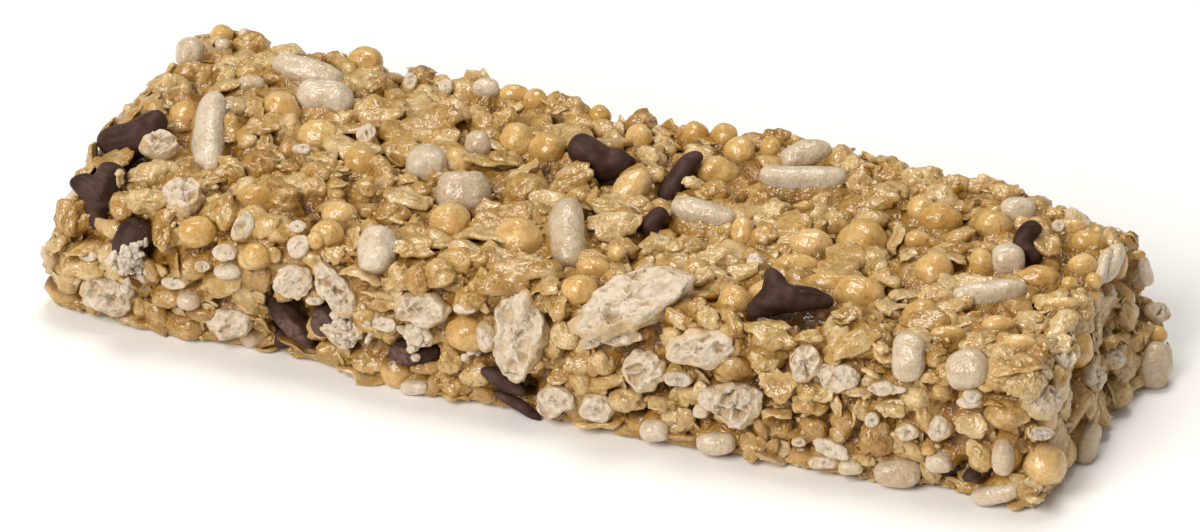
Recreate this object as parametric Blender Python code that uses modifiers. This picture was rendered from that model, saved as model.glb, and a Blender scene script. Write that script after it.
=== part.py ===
"""Chewy granola bar: one pressed bar of oats and crisps, with chocolate chips set in it.

The origin is the middle of the flat underside.  +X runs along the bar, +Y across it and
+Z up, in metres.  The bar is one solid out to its uneven, cobbled outline.  Every chocolate
chip is its own solid, and lies in a socket cut in the bar with a small gap all round.
"""

import math

import bmesh
import bpy
import numpy as np
from mathutils import Matrix, Vector

MM = 0.001

# Driving dimensions of the bar
BAR_LENGTH = 100 * MM
BAR_WIDTH = 33 * MM
BAR_HEIGHT = 13.9 * MM
EDGE_ROUND = 2.2 * MM
SURFACE_CELL = 1.95 * MM
FLAT_UNDER = 0.5 * MM

# Grains that make the surface cobbled
GRAIN_SEED = 7
GRAIN_COUNT = 430
GRAIN_RADIUS = (1.8 * MM, 3.4 * MM)
GRAIN_RISE = 0.42
GRAIN_BASE = 0.55 * MM
GRAIN_FADE = 2.0 * MM

# Chocolate chips
CHIP_GAP = 0.3 * MM
SOCKET_SWELL = 1.35 * CHIP_GAP
CHIP_STEPS = 10
CHIP_PROFILE = ((0.16, 0.97), (0.48, 0.72), (0.84, 0.40), (1.0, 0.17), (0.86, 0.02))

# The outline of the bar, in millimetres: along each long side and across each end, once at
# the foot and once at the brow, so that the sides lean and wander as a pressed bar's do.
FRONT_FOOT = ((-50, -13.8), (-44.7, -16.6), (-36, -17.2), (-25, -14.9), (-19, -17.2), (-4, -17.8),
              (20, -17.4), (34, -16.5), (38, -14.0), (42, -16.4), (46, -13.2), (50, -11))
FRONT_BROW = ((-50, -16.8), (-40, -18.2), (-19, -18.4), (4, -17.8), (24, -16.7), (41, -15.3),
              (50, -12.5))
BACK_FOOT = ((-50, 16.0), (-30, 17.1), (-8, 16.5), (14, 17.3), (34, 16.6), (50, 15.8))
BACK_BROW = ((-50, 17.8), (-30, 18.3), (-6, 17.9), (18, 18.5), (36, 18.1), (43, 14.9), (50, 17.2))
LEFT_FOOT = ((-17, -49.4), (-9, -50.2), (3, -49.3), (12, -50.0), (17, -49.0))
LEFT_BROW = ((-17, -48.6), (-6, -49.2), (6, -49.4), (17, -47.8))
RIGHT_FOOT = ((-17, 48.4), (-3, 48.9), (6, 49.2), (11, 50.6), (17, 50.2))
RIGHT_BROW = ((-17, 47.2), (-9, 46.8), (0, 46.2), (8, 45.2), (13, 43.6), (17, 46.4))

# Lumps that stand out of the outline, and hollows where something broke off it: centre,
# reach, and height of the lump or depth of the hollow, in millimetres
LUMPS = ((-50.0, -16.0, 6.4, 6.0, 3.6), (50.2, 9.4, 6.8, 4.2, 1.6), (45.8, 16.4, 12.8, 4.6, 2.2),
         (45.6, -12.8, 4.4, 4.2, 1.6), (-27.5, 16.8, 12.6, 4.0, 0.8), (22.0, 17.2, 12.4, 4.0, 0.6),
         (-46.5, -14.5, 13.0, 6.0, -2.6), (42.0, 14.0, 13.0, 4.0, -0.8))

# The chips, in millimetres and degrees: middle of the base, which way the tip points
# (round from +X, then up), base radius, length, flatness, and the lengthwise slice (the
# plane y = that value) that took the front of the chip off, or None for a whole chip.
CHIPS = (
    # on the top
    (-46.2, -5.8, 11.9, 51, 31, 2.9, 4.9, 1.0, None),
    (-44.2, -12.2, 10.3, 188, 12, 3.3, 4.9, 1.0, None),
    (-39.9, -16.3, 8.6, 150, 62, 2.8, 3.6, 1.0, None),
    (-7.2, 7.1, 12.4, 0, 3, 3.1, 6.2, 1.0, None),
    (3.2, 7.6, 12.9, 0, -18, 3.0, 3.3, 0.8, None),
    (4.9, -0.6, 12.0, 120, 50, 2.4, 3.0, 0.9, None),
    (21.2, -9.8, 12.3, 160, 62, 3.7, 4.3, 1.0, None),
    (37.4, 8.6, 12.7, 0, 20, 2.8, 3.2, 1.0, None),
    # on the sliced front side
    (-26.8, -15.9, 6.0, 0, -40, 2.0, 6.0, 1.0, -16.9),
    (-22.0, -16.0, 7.6, 0, -50, 2.1, 5.4, 1.0, -17.0),
    (-15.2, -16.8, 4.9, 0, -3, 2.0, 5.5, 1.0, -17.9),
    (-6.3, -17.2, 4.7, 0, -17, 1.2, 5.8, 1.0, -18.1),
    (-4.5, -17.0, 2.1, 0, -9, 0.8, 5.0, 1.0, -17.7),
    (-26.4, -15.2, 1.5, 0, 10, 1.0, 1.8, 1.0, None),
    (38.0, -13.4, 1.7, 0, 30, 0.9, 1.8, 1.0, None),
    (41.2, -15.4, 2.4, 90, 40, 0.9, 1.8, 1.0, None),
    # on the back
    (-36.0, 15.0, 8.4, 95, 20, 3.0, 4.0, 1.0, None),
    (-14.0, 15.6, 5.2, 10, 25, 2.6, 4.8, 1.0, None),
    (6.4, 15.2, 9.6, 80, -10, 3.0, 4.2, 1.0, None),
    (24.0, 15.3, 4.6, 170, 15, 2.6, 4.6, 0.8, None),
    (38.6, 14.2, 8.0, 100, 10, 2.8, 3.6, 1.0, None),
    # on the left end
    (-47.6, 5.2, 4.8, 200, 30, 2.9, 3.8, 1.0, None),
    (-47.4, 12.4, 9.2, 120, -15, 2.6, 4.0, 0.8, None),
    # pressed flat against the belt, in the underside
    (-33.0, 5.4, 0.3, 0, 90, 3.2, 3.6, 1.0, None),
    (-11.5, -7.0, 0.3, 0, 90, 2.8, 3.4, 1.0, None),
    (15.6, 6.2, 0.3, 0, 90, 3.3, 3.6, 1.0, None),
    (34.0, -3.6, 0.3, 0, 90, 2.7, 3.2, 1.0, None),
)


def start_clean():
    """Take every object out of the file."""
    for thing in list(bpy.data.objects):
        bpy.data.objects.remove(thing, do_unlink=True)


def new_collection(name):
    """Make a collection in the scene."""
    made = bpy.data.collections.new(name)
    bpy.context.scene.collection.children.link(made)
    return made


def new_material(name, colour, roughness):
    """Make a plain material that is not metal."""
    made = bpy.data.materials.new(name)
    made.use_nodes = True
    shader = made.node_tree.nodes["Principled BSDF"]
    shader.inputs["Base Color"].default_value = (*colour, 1.0)
    shader.inputs["Roughness"].default_value = roughness
    shader.inputs["Metallic"].default_value = 0.0
    return made


def new_object(name, mesh, collection, material):
    """Put a mesh in the scene under a name, with its material."""
    made = bpy.data.objects.new(name, mesh)
    collection.objects.link(made)
    if material is not None:
        mesh.materials.append(material)
    return made


def settle(thing):
    """Work an object's modifiers into its mesh."""
    graph = bpy.context.evaluated_depsgraph_get()
    finished = bpy.data.meshes.new_from_object(thing.evaluated_get(graph))
    thing.modifiers.clear()
    thing.data = finished


def points_of(mesh):
    """Read a mesh's points as an array, one row for each."""
    flat = np.empty(len(mesh.vertices) * 3)
    mesh.vertices.foreach_get("co", flat)
    return flat.reshape(-1, 3)


def put_points(mesh, points):
    """Write an array of points back into a mesh."""
    mesh.vertices.foreach_set("co", points.ravel())
    mesh.update()


def normals_of(mesh):
    """Read a mesh's outward directions as an array, one row for each point."""
    flat = np.empty(len(mesh.vertices) * 3)
    mesh.vertices.foreach_get("normal", flat)
    return flat.reshape(-1, 3)


def read_line(line, along):
    """Read an outline at the given places: smooth between its points, held at its ends."""
    at = np.array([point[0] for point in line]) * MM
    value = np.array([point[1] for point in line]) * MM
    place = np.clip(along, at[0], at[-1])
    after = np.clip(np.searchsorted(at, place), 1, len(at) - 1)
    share = (place - at[after - 1]) / (at[after] - at[after - 1])
    share = share * share * (3 - 2 * share)
    return value[after - 1] + (value[after] - value[after - 1]) * share


def blend(low, high, share):
    """Go from low to high as share goes from 0 to 1."""
    return low + (high - low) * share


def rounded_block():
    """A box with its upper and upright edges rounded, in small even faces."""
    mesh = bpy.data.meshes.new("bar_block")
    shape = bmesh.new()
    size = Matrix.Diagonal((BAR_LENGTH, BAR_WIDTH, BAR_HEIGHT, 1.0))
    lift = Matrix.Translation((0, 0, BAR_HEIGHT / 2))
    bmesh.ops.create_cube(shape, size=1.0, matrix=lift @ size)
    rounded = [edge for edge in shape.edges if max(point.co.z for point in edge.verts) > 0]
    bmesh.ops.bevel(shape, geom=rounded, offset=EDGE_ROUND, segments=3, profile=0.5,
                    affect="EDGES")
    shape.to_mesh(mesh)
    shape.free()
    return mesh


def fit_outline(points):
    """Carry the block's points to the wandering outline between the sides and the ends."""
    x, y, z = points.T
    up = np.clip(z / BAR_HEIGHT, 0, 1)
    left = blend(read_line(LEFT_FOOT, y), read_line(LEFT_BROW, y), up)
    right = blend(read_line(RIGHT_FOOT, y), read_line(RIGHT_BROW, y), up)
    new_x = blend(left, right, x / BAR_LENGTH + 0.5)
    front = blend(read_line(FRONT_FOOT, new_x), read_line(FRONT_BROW, new_x), up)
    back = blend(read_line(BACK_FOOT, new_x), read_line(BACK_BROW, new_x), up)
    new_y = blend(front, back, y / BAR_WIDTH + 0.5)
    return np.stack((new_x, new_y, z), axis=1)


def cobble(points, outward):
    """Raise a dome over each grain, and add the larger lumps and hollows."""
    rng = np.random.default_rng(GRAIN_SEED)
    chosen = rng.choice(len(points), GRAIN_COUNT, replace=False)
    radius = rng.uniform(*GRAIN_RADIUS, GRAIN_COUNT)
    centre = points[chosen]
    away = np.linalg.norm(points[:, None, :] - centre[None, :, :], axis=2)
    dome = radius * GRAIN_RISE * np.clip(1 - (away / radius) ** 2, 0, None)
    lift = dome.max(axis=1) - GRAIN_BASE
    lump = np.array(LUMPS) * MM
    away = np.linalg.norm(points[:, None, :] - lump[None, :, :3], axis=2)
    lift = lift + (lump[:, 4] * np.clip(1 - (away / lump[:, 3]) ** 2, 0, None)).sum(axis=1)
    lift = lift * np.clip(points[:, 2] / GRAIN_FADE, 0, 1)
    return points + outward * lift[:, None]


def flatten_under(points):
    """Bring everything that is almost on the belt down to one flat plane."""
    points[:, 2] = np.where(points[:, 2] < FLAT_UNDER, 0.0, points[:, 2])
    return points


def join_flat_faces(mesh):
    """Make the flat underside one face."""
    shape = bmesh.new()
    shape.from_mesh(mesh)
    under = [face for face in shape.faces if max(point.co.z for point in face.verts) == 0.0]
    bmesh.ops.dissolve_faces(shape, faces=under, use_verts=False)
    shape.to_mesh(mesh)
    shape.free()


def make_bar(collection, material):
    """The pressed bar, before the chips' sockets are cut."""
    bar = new_object("granola_body", rounded_block(), collection, material)
    even = bar.modifiers.new("even faces", "REMESH")
    even.mode = "VOXEL"
    even.voxel_size = SURFACE_CELL
    settle(bar)
    mesh = bar.data
    put_points(mesh, fit_outline(points_of(mesh)))
    points = cobble(points_of(mesh), normals_of(mesh))
    put_points(mesh, flatten_under(points))
    join_flat_faces(mesh)
    return bar


def drop_mesh(name, radius, height):
    """A turned chocolate drop on its flat base, tip up, as a closed mesh."""
    mesh = bpy.data.meshes.new(name)
    shape = bmesh.new()
    line = [(0.0, 1.0), *CHIP_PROFILE, (0.0, 0.0)]
    made = [shape.verts.new((x * radius, 0.0, z * height)) for x, z in line]
    for upper, lower in zip(made, made[1:]):
        shape.edges.new((upper, lower))
    shape.to_mesh(mesh)
    shape.free()
    turned = bpy.data.objects.new(name, mesh)
    bpy.context.scene.collection.objects.link(turned)
    screw = turned.modifiers.new("turned", "SCREW")
    screw.steps = CHIP_STEPS
    screw.render_steps = CHIP_STEPS
    screw.use_merge_vertices = True
    screw.merge_threshold = 0.0001 * radius
    settle(turned)
    finished = turned.data
    bpy.data.objects.remove(turned)
    return finished


def chip_place(row):
    """The turn and place that carry a drop to where its chip lies."""
    x, y, z, around, above = row[:5]
    tip = Vector((math.cos(math.radians(around)) * math.cos(math.radians(above)),
                  math.sin(math.radians(around)) * math.cos(math.radians(above)),
                  math.sin(math.radians(above))))
    turn = tip.to_track_quat("Z", "Y").to_matrix().to_4x4()
    return Matrix.Translation(Vector((x, y, z)) * MM) @ turn


def slice_front(mesh, plane_y):
    """Cut away what is in front of a lengthwise plane, and close the cut."""
    shape = bmesh.new()
    shape.from_mesh(mesh)
    everything = list(shape.verts) + list(shape.edges) + list(shape.faces)
    cut = bmesh.ops.bisect_plane(shape, geom=everything, plane_co=(0, plane_y, 0),
                                 plane_no=(0, -1, 0), clear_outer=True)
    rim = [part for part in cut["geom_cut"] if isinstance(part, bmesh.types.BMEdge)]
    bmesh.ops.edgenet_fill(shape, edges=rim)
    bmesh.ops.recalc_face_normals(shape, faces=shape.faces)
    shape.to_mesh(mesh)
    shape.free()


def chip_mesh(name, row, swell=0.0):
    """A chip as it lies, or, with a swell, the room that its socket needs."""
    radius, height, flatness, cut = row[5] * MM, row[6] * MM, row[7], row[8]
    mesh = drop_mesh(name, radius, height)
    mesh.transform(Matrix.Diagonal((1.0, flatness, 1.0, 1.0)))
    mesh.transform(chip_place(row))
    if swell > 0:
        points, outward = points_of(mesh), normals_of(mesh)
        put_points(mesh, points + outward * swell)
    if cut is not None:
        slice_front(mesh, cut * MM - swell)
    return mesh


def make_chips(collection, cutters, material):
    """All the chips, and the cutters for their sockets."""
    for number, row in enumerate(CHIPS, start=1):
        name = f"chocolate_chip_{number:02d}"
        new_object(name, chip_mesh(name, row), collection, material)
        room = new_object(f"socket_{number:02d}", chip_mesh("socket", row, SOCKET_SWELL),
                          cutters, None)
        room.hide_render = True
        room.display_type = "WIRE"


def keep_largest(thing):
    """Drop the loose scraps that a socket cut off, and keep the one whole body."""
    shape = bmesh.new()
    shape.from_mesh(thing.data)
    left = set(shape.faces)
    groups = []
    while left:
        front = [left.pop()]
        group = list(front)
        while front:
            beside = {other for edge in front.pop().edges for other in edge.link_faces}
            found = beside & left
            left -= found
            front.extend(found)
            group.extend(found)
        groups.append(group)
    groups.sort(key=len)
    scraps = [face for group in groups[:-1] for face in group]
    bmesh.ops.delete(shape, geom=scraps, context="FACES")
    shape.to_mesh(thing.data)
    shape.free()


def cut_sockets(bar, cutters):
    """Take the chips' sockets out of the bar."""
    cut = bar.modifiers.new("chip sockets", "BOOLEAN")
    cut.operation = "DIFFERENCE"
    cut.operand_type = "COLLECTION"
    cut.collection = cutters
    cut.solver = "EXACT"
    settle(bar)
    keep_largest(bar)


def main():
    start_clean()
    pieces = new_collection("granola_bar")
    cutters = new_collection("cutters")
    oats = new_material("baked oats and syrup", (0.56, 0.36, 0.15), 0.45)
    chocolate = new_material("dark chocolate", (0.045, 0.028, 0.025), 0.4)
    bar = make_bar(pieces, oats)
    make_chips(pieces, cutters, chocolate)
    cut_sockets(bar, cutters)


main()
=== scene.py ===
"""Looks of a chewy granola bar: oats, crisps and chocolate chips held together by syrup.

The bar's skin is measured from the frame.  A core of syrup and fine crumbs lies a little
under it, and every ball, rice crisp, oat flake, torn puff and crumb is seated in the skin.
Shapes are worked out as whole arrays; tables are in millimetres and degrees.
"""

import math

import bpy
import numpy as np
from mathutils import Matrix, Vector
from mathutils.bvhtree import BVHTree


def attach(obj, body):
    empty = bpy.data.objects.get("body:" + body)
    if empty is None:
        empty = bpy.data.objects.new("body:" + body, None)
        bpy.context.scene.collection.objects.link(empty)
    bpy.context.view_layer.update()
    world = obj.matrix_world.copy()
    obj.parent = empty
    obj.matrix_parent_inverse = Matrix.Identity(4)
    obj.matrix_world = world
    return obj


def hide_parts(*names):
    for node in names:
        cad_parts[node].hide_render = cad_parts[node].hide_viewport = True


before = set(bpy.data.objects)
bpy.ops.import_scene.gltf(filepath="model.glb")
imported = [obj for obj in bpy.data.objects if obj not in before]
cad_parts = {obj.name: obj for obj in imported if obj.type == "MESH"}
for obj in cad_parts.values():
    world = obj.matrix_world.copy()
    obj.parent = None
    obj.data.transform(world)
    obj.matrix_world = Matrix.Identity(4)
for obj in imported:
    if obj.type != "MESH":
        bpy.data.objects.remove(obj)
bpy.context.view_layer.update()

MM = 0.001

# The camera, the light and the floor, in metres and degrees; the lens is in millimetres
AZIMUTH = 22.7
ELEVATION = 30.3
DISTANCE = 0.9
LENS = 295.4
TARGET = (-0.0008, -0.0004, 0.007)
KEY_PLACE = (-0.20, -0.75, 0.64)
KEY_SIZE = 0.55
KEY_POWER = 8.7
ABOVE_PLACE = (-0.10, 0.25, 0.95)
ABOVE_SIZE = 0.40
ABOVE_POWER = 4.8
LAMP_COLOUR = (1.0, 0.95, 0.89)
ROOM_LIGHT = 0.26
FLOOR_HALF = 3.0

# The skin: half sizes, rounding of its edges and of its foot, its grid, and the rays that
# measure the frame, with the stretch of each side that they cover, in metres
SKIN_HALF = np.array((50.0, 18.0, 7.0)) * MM
EDGE_ROUND = 2.4 * MM
FOOT_ROUND = 1.0 * MM
SKIN_CELL = 0.34 * MM
RAY_STEP = 2.0 * MM
RAY_START = 0.2
SIDE_SPANS = {
    "top": ((-0.046, -0.014), (0.044, 0.014)),
    "front": ((-0.048, 0.002), (0.044, 0.012)),
    "back": ((-0.046, 0.002), (0.046, 0.012)),
    "left": ((-0.014, 0.002), (0.014, 0.012)),
    "right": ((-0.010, 0.002), (0.014, 0.012)),
}

# The core of syrup and crumbs: how deep its bed lies under the skin and over the sole, how
# much wider than a grain it climbs, how far it stays down on grains and on torn puffs as
# shares of their size, how softly it blends, how high it may stand and how low it may hang
CORE_DEPTH = 1.9 * MM
SOLE_DEPTH = 0.3 * MM
SYRUP_SPREAD = 0.25
GRAIN_DROP = 1.0
PUFF_DROP = 1.2
SYRUP_BLEND = 0.20 * MM
SYRUP_TOP = 0.1 * MM
CORE_FOOT = 0.1 * MM

# Pooled syrup and painted shade are darkest this deep: round a grain, and in the core's own hollows
GRAIN_DEEP = 2.6 * MM
CORE_DEEP = 2.2 * MM

# Round the chips: how far their rim reaches, how deep a well the syrup leaves there, how
# many of the first chips lie on the left end's slope and stay clear of syrup in front, and
# how far it may be let down for them
CHIP_RIM = 0.5 * MM
CHIP_WELL = 0.7 * MM
CHIPS_ON_SLOPE = 3
SLOPE_DROP = 2.6 * MM

# Half thickness of a flake that shows its side, the most that one showing its rim reaches
# into the bar, and the film left under grains pressed on the belt
FLAKE_HALF = 0.32 * MM
RIM_DEPTH = 1.5 * MM
PRESSED = 0.04 * MM

# Grains that can be told apart on the top, the front and the right end.  Each row is where
# it shows on its reading plane (x and y, x and z, or y and z), how far it reaches across and
# up as seen by the camera, and how much it leans to the left from lying level.
READING = {"top": 12.0, "front": -16.0, "end": 47.0}

GOLDEN_CRISPS = {
    "top": (
        (-47, 18, 2.2, 2.2), (-36, 7, 3.9, 3.9), (-32.5, 18.5, 3.3, 3.3), (-25.5, 1.5, 3.2, 3.2),
        (-30.5, 3.5, 3.9, 3.9), (-17.5, 19, 2.9, 2.0), (-15, 18, 2.4, 2.4), (-8.5, 18, 2.2, 2.2),
        (1, 18, 2.5, 2.5), (3.5, 19, 2.6, 2.6), (-13.5, 10, 3.4, 3.4), (-10.5, 10, 3.5, 3.5),
        (-0.5, 6, 4.8, 3.0, 54), (-3.5, 15.5, 2.6, 2.6), (5.5, 12, 4.2, 3.0), (6, 16.5, 3.0, 3.0),
        (8.5, 18, 2.0, 2.0), (22.5, 5, 4.4, 4.4), (18.5, 3, 4.0, 3.0), (18.5, -0.5, 3.9, 1.7),
        (12, 2.5, 2.2, 3.0), (14, 2.5, 2.2, 2.4), (15.5, 9, 1.7, 1.0), (27, 7.5, 2.4, 1.8),
        (25.5, 12.5, 2.9, 2.9), (27.5, 12, 4.3, 3.1), (32.5, 12.5, 3.4, 2.9), (39, 15, 3.4, 1.8),
        (41.5, 13, 3.4, 2.4), (42.5, 9, 2.6, 2.0), (34, 5.5, 2.2, 3.0), (39.5, 5.5, 3.9, 2.3),
        (42.5, 5.5, 1.6, 1.3), (43, 2, 3.0, 1.3), (-31.5, -8.5, 3.5, 2.6), (-23, -8.5, 3.4, 2.6),
        (-22.5, -12.5, 3.0, 2.7), (-27, -18.5, 2.5, 2.5), (-13.5, -5.5, 3.8, 3.8),
        (-23, -14, 1.6, 1.6), (-6.5, -6, 4.6, 4.6), (2.5, -13, 3.4, 2.9), (2, -8.5, 3.4, 2.2),
        (3, -5.5, 1.8, 1.7), (22.5, -2.5, 4.6, 2.0, -3), (15.5, -8.5, 3.1, 3.4),
        (25.5, -3, 4.6, 3.6), (30.5, 3, 3.5, 3.4), (39, -3.5, 3.0, 1.6), (42, -6, 3.0, 1.7),
        (35.5, -7, 3.0, 1.4), (44.5, 6.5, 1.6, 1.7)),
    "front": (
        (-34, 11.5, 3.8, 3.0), (-28.5, 10, 2.5, 2.1), (-7, 7, 4.3, 3.5), (48.5, 6, 4.2, 3.8),
        (37.5, 5, 1.3, 1.0)),
    "end": (
        (16.5, 1.5, 2.3, 1.7), (7, 14, 1.7, 2.9), (12.5, 12, 1.7, 0.9)),
}

OAT_CLUSTERS = {
    "top": (
        (-44.5, -10.5, 1.0, 1.6), (37, 12, 1.8, 1.6), (-43.5, -3.5, 3.2, 1.9),
        (-44, 18, 3.3, 2.1), (-47.5, 7.5, 3.9, 2.6), (-42, -8, 5.0, 2.2, 12), (-34, 4, 2.6, 2.6),
        (-33.5, -3, 3.9, 3.9), (-35.5, -6, 2.9, 2.1), (-46.5, 11, 3.9, 1.8),
        (-26.5, 17.5, 2.6, 2.6), (-27.5, -3, 4.0, 4.0), (-22.5, -4, 2.6, 3.2), (-30, 14, 2.9, 2.9),
        (-16, 13.5, 2.6, 2.6), (-12.5, 17.5, 2.6, 2.6), (-11, 17.5, 2.4, 2.4),
        (-4, 17.5, 2.6, 2.6), (-9.5, 2.5, 4.2, 4.2), (-1, 12.5, 2.4, 2.4), (7, 8.5, 2.9, 1.7),
        (8.5, 19.5, 3.0, 2.0), (17, 17, 2.1, 3.1), (15.5, 18.5, 2.4, 2.4), (20.5, 18.5, 2.6, 2.6),
        (23.5, 18, 3.9, 2.6), (11.5, 8.5, 2.6, 2.6), (13.5, 7, 2.6, 2.6), (26.5, 18, 3.4, 1.6),
        (29, 19, 3.3, 1.6), (31.5, 18.5, 2.9, 1.6), (37, 19, 3.1, 1.3), (45, 17, 2.4, 2.4),
        (30.5, 7, 3.9, 1.4), (-29, -7.5, 2.6, 2.6), (-27.5, -13.5, 4.2, 2.5, -12),
        (-18.5, -7, 3.3, 2.2), (-11.5, -17, 2.6, 2.6), (-27.5, -5, 2.9, 2.0), (-9, -12, 4.4, 2.0),
        (-4.5, -15, 5.2, 1.7), (11.5, -2.5, 3.4, 2.1), (8, -2, 3.9, 2.0), (22.5, -17.5, 3.0, 2.4),
        (27, -7.5, 3.9, 2.0), (32, -1, 3.4, 1.6), (45, -13, 3.3, 2.0)),
    "front": (
        (-47, 10, 2.2, 3.3), (-37, 4, 3.1, 1.4), (-39, 13.5, 3.5, 2.1), (-20, 2, 4.1, 1.6, -14),
        (-17, 1.5, 3.6, 1.4, -11), (-10, 12.5, 2.6, 2.4), (-11, 2.5, 2.9, 1.0), (2.5, 9, 3.2, 2.6),
        (6, 7, 2.2, 2.4), (8.5, 3.5, 3.1, 2.0), (-8.5, 1, 2.9, 1.3), (-7, 10.5, 2.6, 2.4),
        (26.5, 8.5, 3.1, 1.8), (26, 7, 2.9, 1.6), (42.5, 5.5, 2.2, 2.6), (45, 10.5, 3.5, 2.1),
        (34, 8.5, 2.9, 1.3)),
    "end": ((7.5, 0, 2.9, 2.3),),
}

PALE_CRISPS = {
    "top": (
        (-48.5, 14, 2.6, 3.3), (-45, 19, 1.2, 1.2), (-46, 16, 1.4, 1.4), (-40.5, 10.5, 2.5, 1.6),
        (-40, -0.5, 8.6, 3.1, 88), (-36.5, 14.5, 6.8, 2.6, -16), (-33, 10.5, 5.4, 3.6, -10),
        (-20, 18, 2.5, 2.0), (-19.5, 3, 3.8, 3.8), (-14.5, 0, 5.0, 4.4), (-16.5, 8, 2.4, 2.4),
        (7.5, 4, 6.0, 2.5, -14), (12, 18, 4.8, 2.5, 13), (13.5, 13.5, 8.0, 2.6, -1),
        (33.5, 16, 3.3, 2.4), (36, 7, 3.1, 3.1), (45, 10, 3.8, 1.7, 62), (-17, -13.5, 4.0, 3.7, 80),
        (-2.5, -4, 6.2, 3.5, -87), (36.5, 1, 6.8, 2.4, 8), (34, -12.5, 4.4, 3.3, 88),
        (39.5, -12.5, 3.8, 3.5)),
    "front": (
        (-35, 4, 2.1, 1.8), (-31, 8, 2.5, 1.4), (-12.5, 0, 2.6, 1.4), (11, 1, 2.6, 2.0),
        (-7.5, 9.5, 2.0, 1.0), (15.5, 4, 1.4, 1.3), (17, 1, 3.5, 2.1), (30, 1.5, 2.2, 1.3),
        (34.5, 2, 4.2, 2.7), (38.5, 4, 2.4, 2.0), (44.5, 6, 3.3, 2.2, 90), (44, 2, 4.4, 1.8, 13)),
    "end": (
        (14, 9.5, 2.8, 1.7, 105), (3, 16, 3.4, 1.2, 71), (16.5, -2.5, 4.4, 3.3, 80),
        (-0.5, -1, 4.0, 2.2, 71)),
}

TORN_PUFFS = {
    "top": (
        (-43.5, -3.5, 3.4, 2.2, 10), (-30, -14, 2.6, 1.6, 74), (-24, -15.5, 2.0, 2.0),
        (-22, -21.5, 3.5, 2.9), (-18, -21.5, 5.2, 2.5, -56), (-9.5, -21.5, 5.0, 3.1),
        (7.5, -13.5, 10.5, 4.3, 25), (16.5, -18, 6.2, 3.3, 7), (16.5, -24, 2.5, 1.4),
        (26, -17, 2.7, 3.1), (29.5, -18, 3.7, 2.5), (48.5, -15, 3.2, 3.0), (42, -17.5, 2.5, 1.4),
        (47, -7, 1.7, 2.1), (-27, 16.5, 1.2, 1.2), (-23.5, 16.5, 1.4, 1.4), (-26.5, 5.5, 1.7, 1.7),
        (-31, 1, 1.7, 0.8), (-25.5, -12.5, 1.4, 1.0), (7, -21, 1.7, 1.0), (15, -2, 1.4, 1.2),
        (38, 14.5, 1.0, 1.0), (-19, -24, 1.8, 1.0)),
    "front": (
        (-43, 3, 5.0, 3.8, -4), (-36.5, 5.5, 2.5, 1.2), (-31, 2.5, 3.9, 2.7), (-35.5, 15, 3.9, 2.8),
        (-29.5, 13, 2.6, 1.6, 62), (-31, 10, 2.2, 1.6), (-33.5, 8, 1.4, 1.0), (-20, 4, 3.8, 2.0, -27),
        (-19, 4.5, 2.4, 1.7), (-15.5, 6, 2.2, 1.4), (-12, 5.5, 2.9, 1.7, -22), (-5.5, 7, 2.0, 2.5),
        (-2, 8, 7.4, 4.4, 82), (1.5, 2, 3.7, 2.9), (5.5, 2, 3.1, 2.5), (10, 7, 3.5, 3.5),
        (13.5, 7, 2.5, 1.4), (7.5, 10, 4.6, 1.7), (19, 5.5, 4.4, 4.3), (16.5, 5.5, 2.1, 2.0),
        (28, 3, 3.7, 1.6, -20), (27.5, 1.5, 2.7, 1.2), (33, 10.5, 2.0, 1.3), (35.5, 6.5, 2.1, 1.7),
        (38.5, 7.5, 2.0, 2.1), (41.5, 11.5, 2.1, 1.4), (33.5, 10.5, 3.3, 0.9), (-45, 6.5, 1.6, 1.0),
        (4.5, 8.5, 1.6, 0.9), (25, 3, 1.3, 1.0), (32, 7, 1.2, 1.2), (48, 9, 2.1, 0.9)),
    "end": (
        (17, 3.5, 2.3, 1.8), (6.5, 4.5, 2.4, 2.0), (1, 5.5, 2.0, 2.6), (-13, 7.5, 2.0, 1.1)),
}

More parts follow.
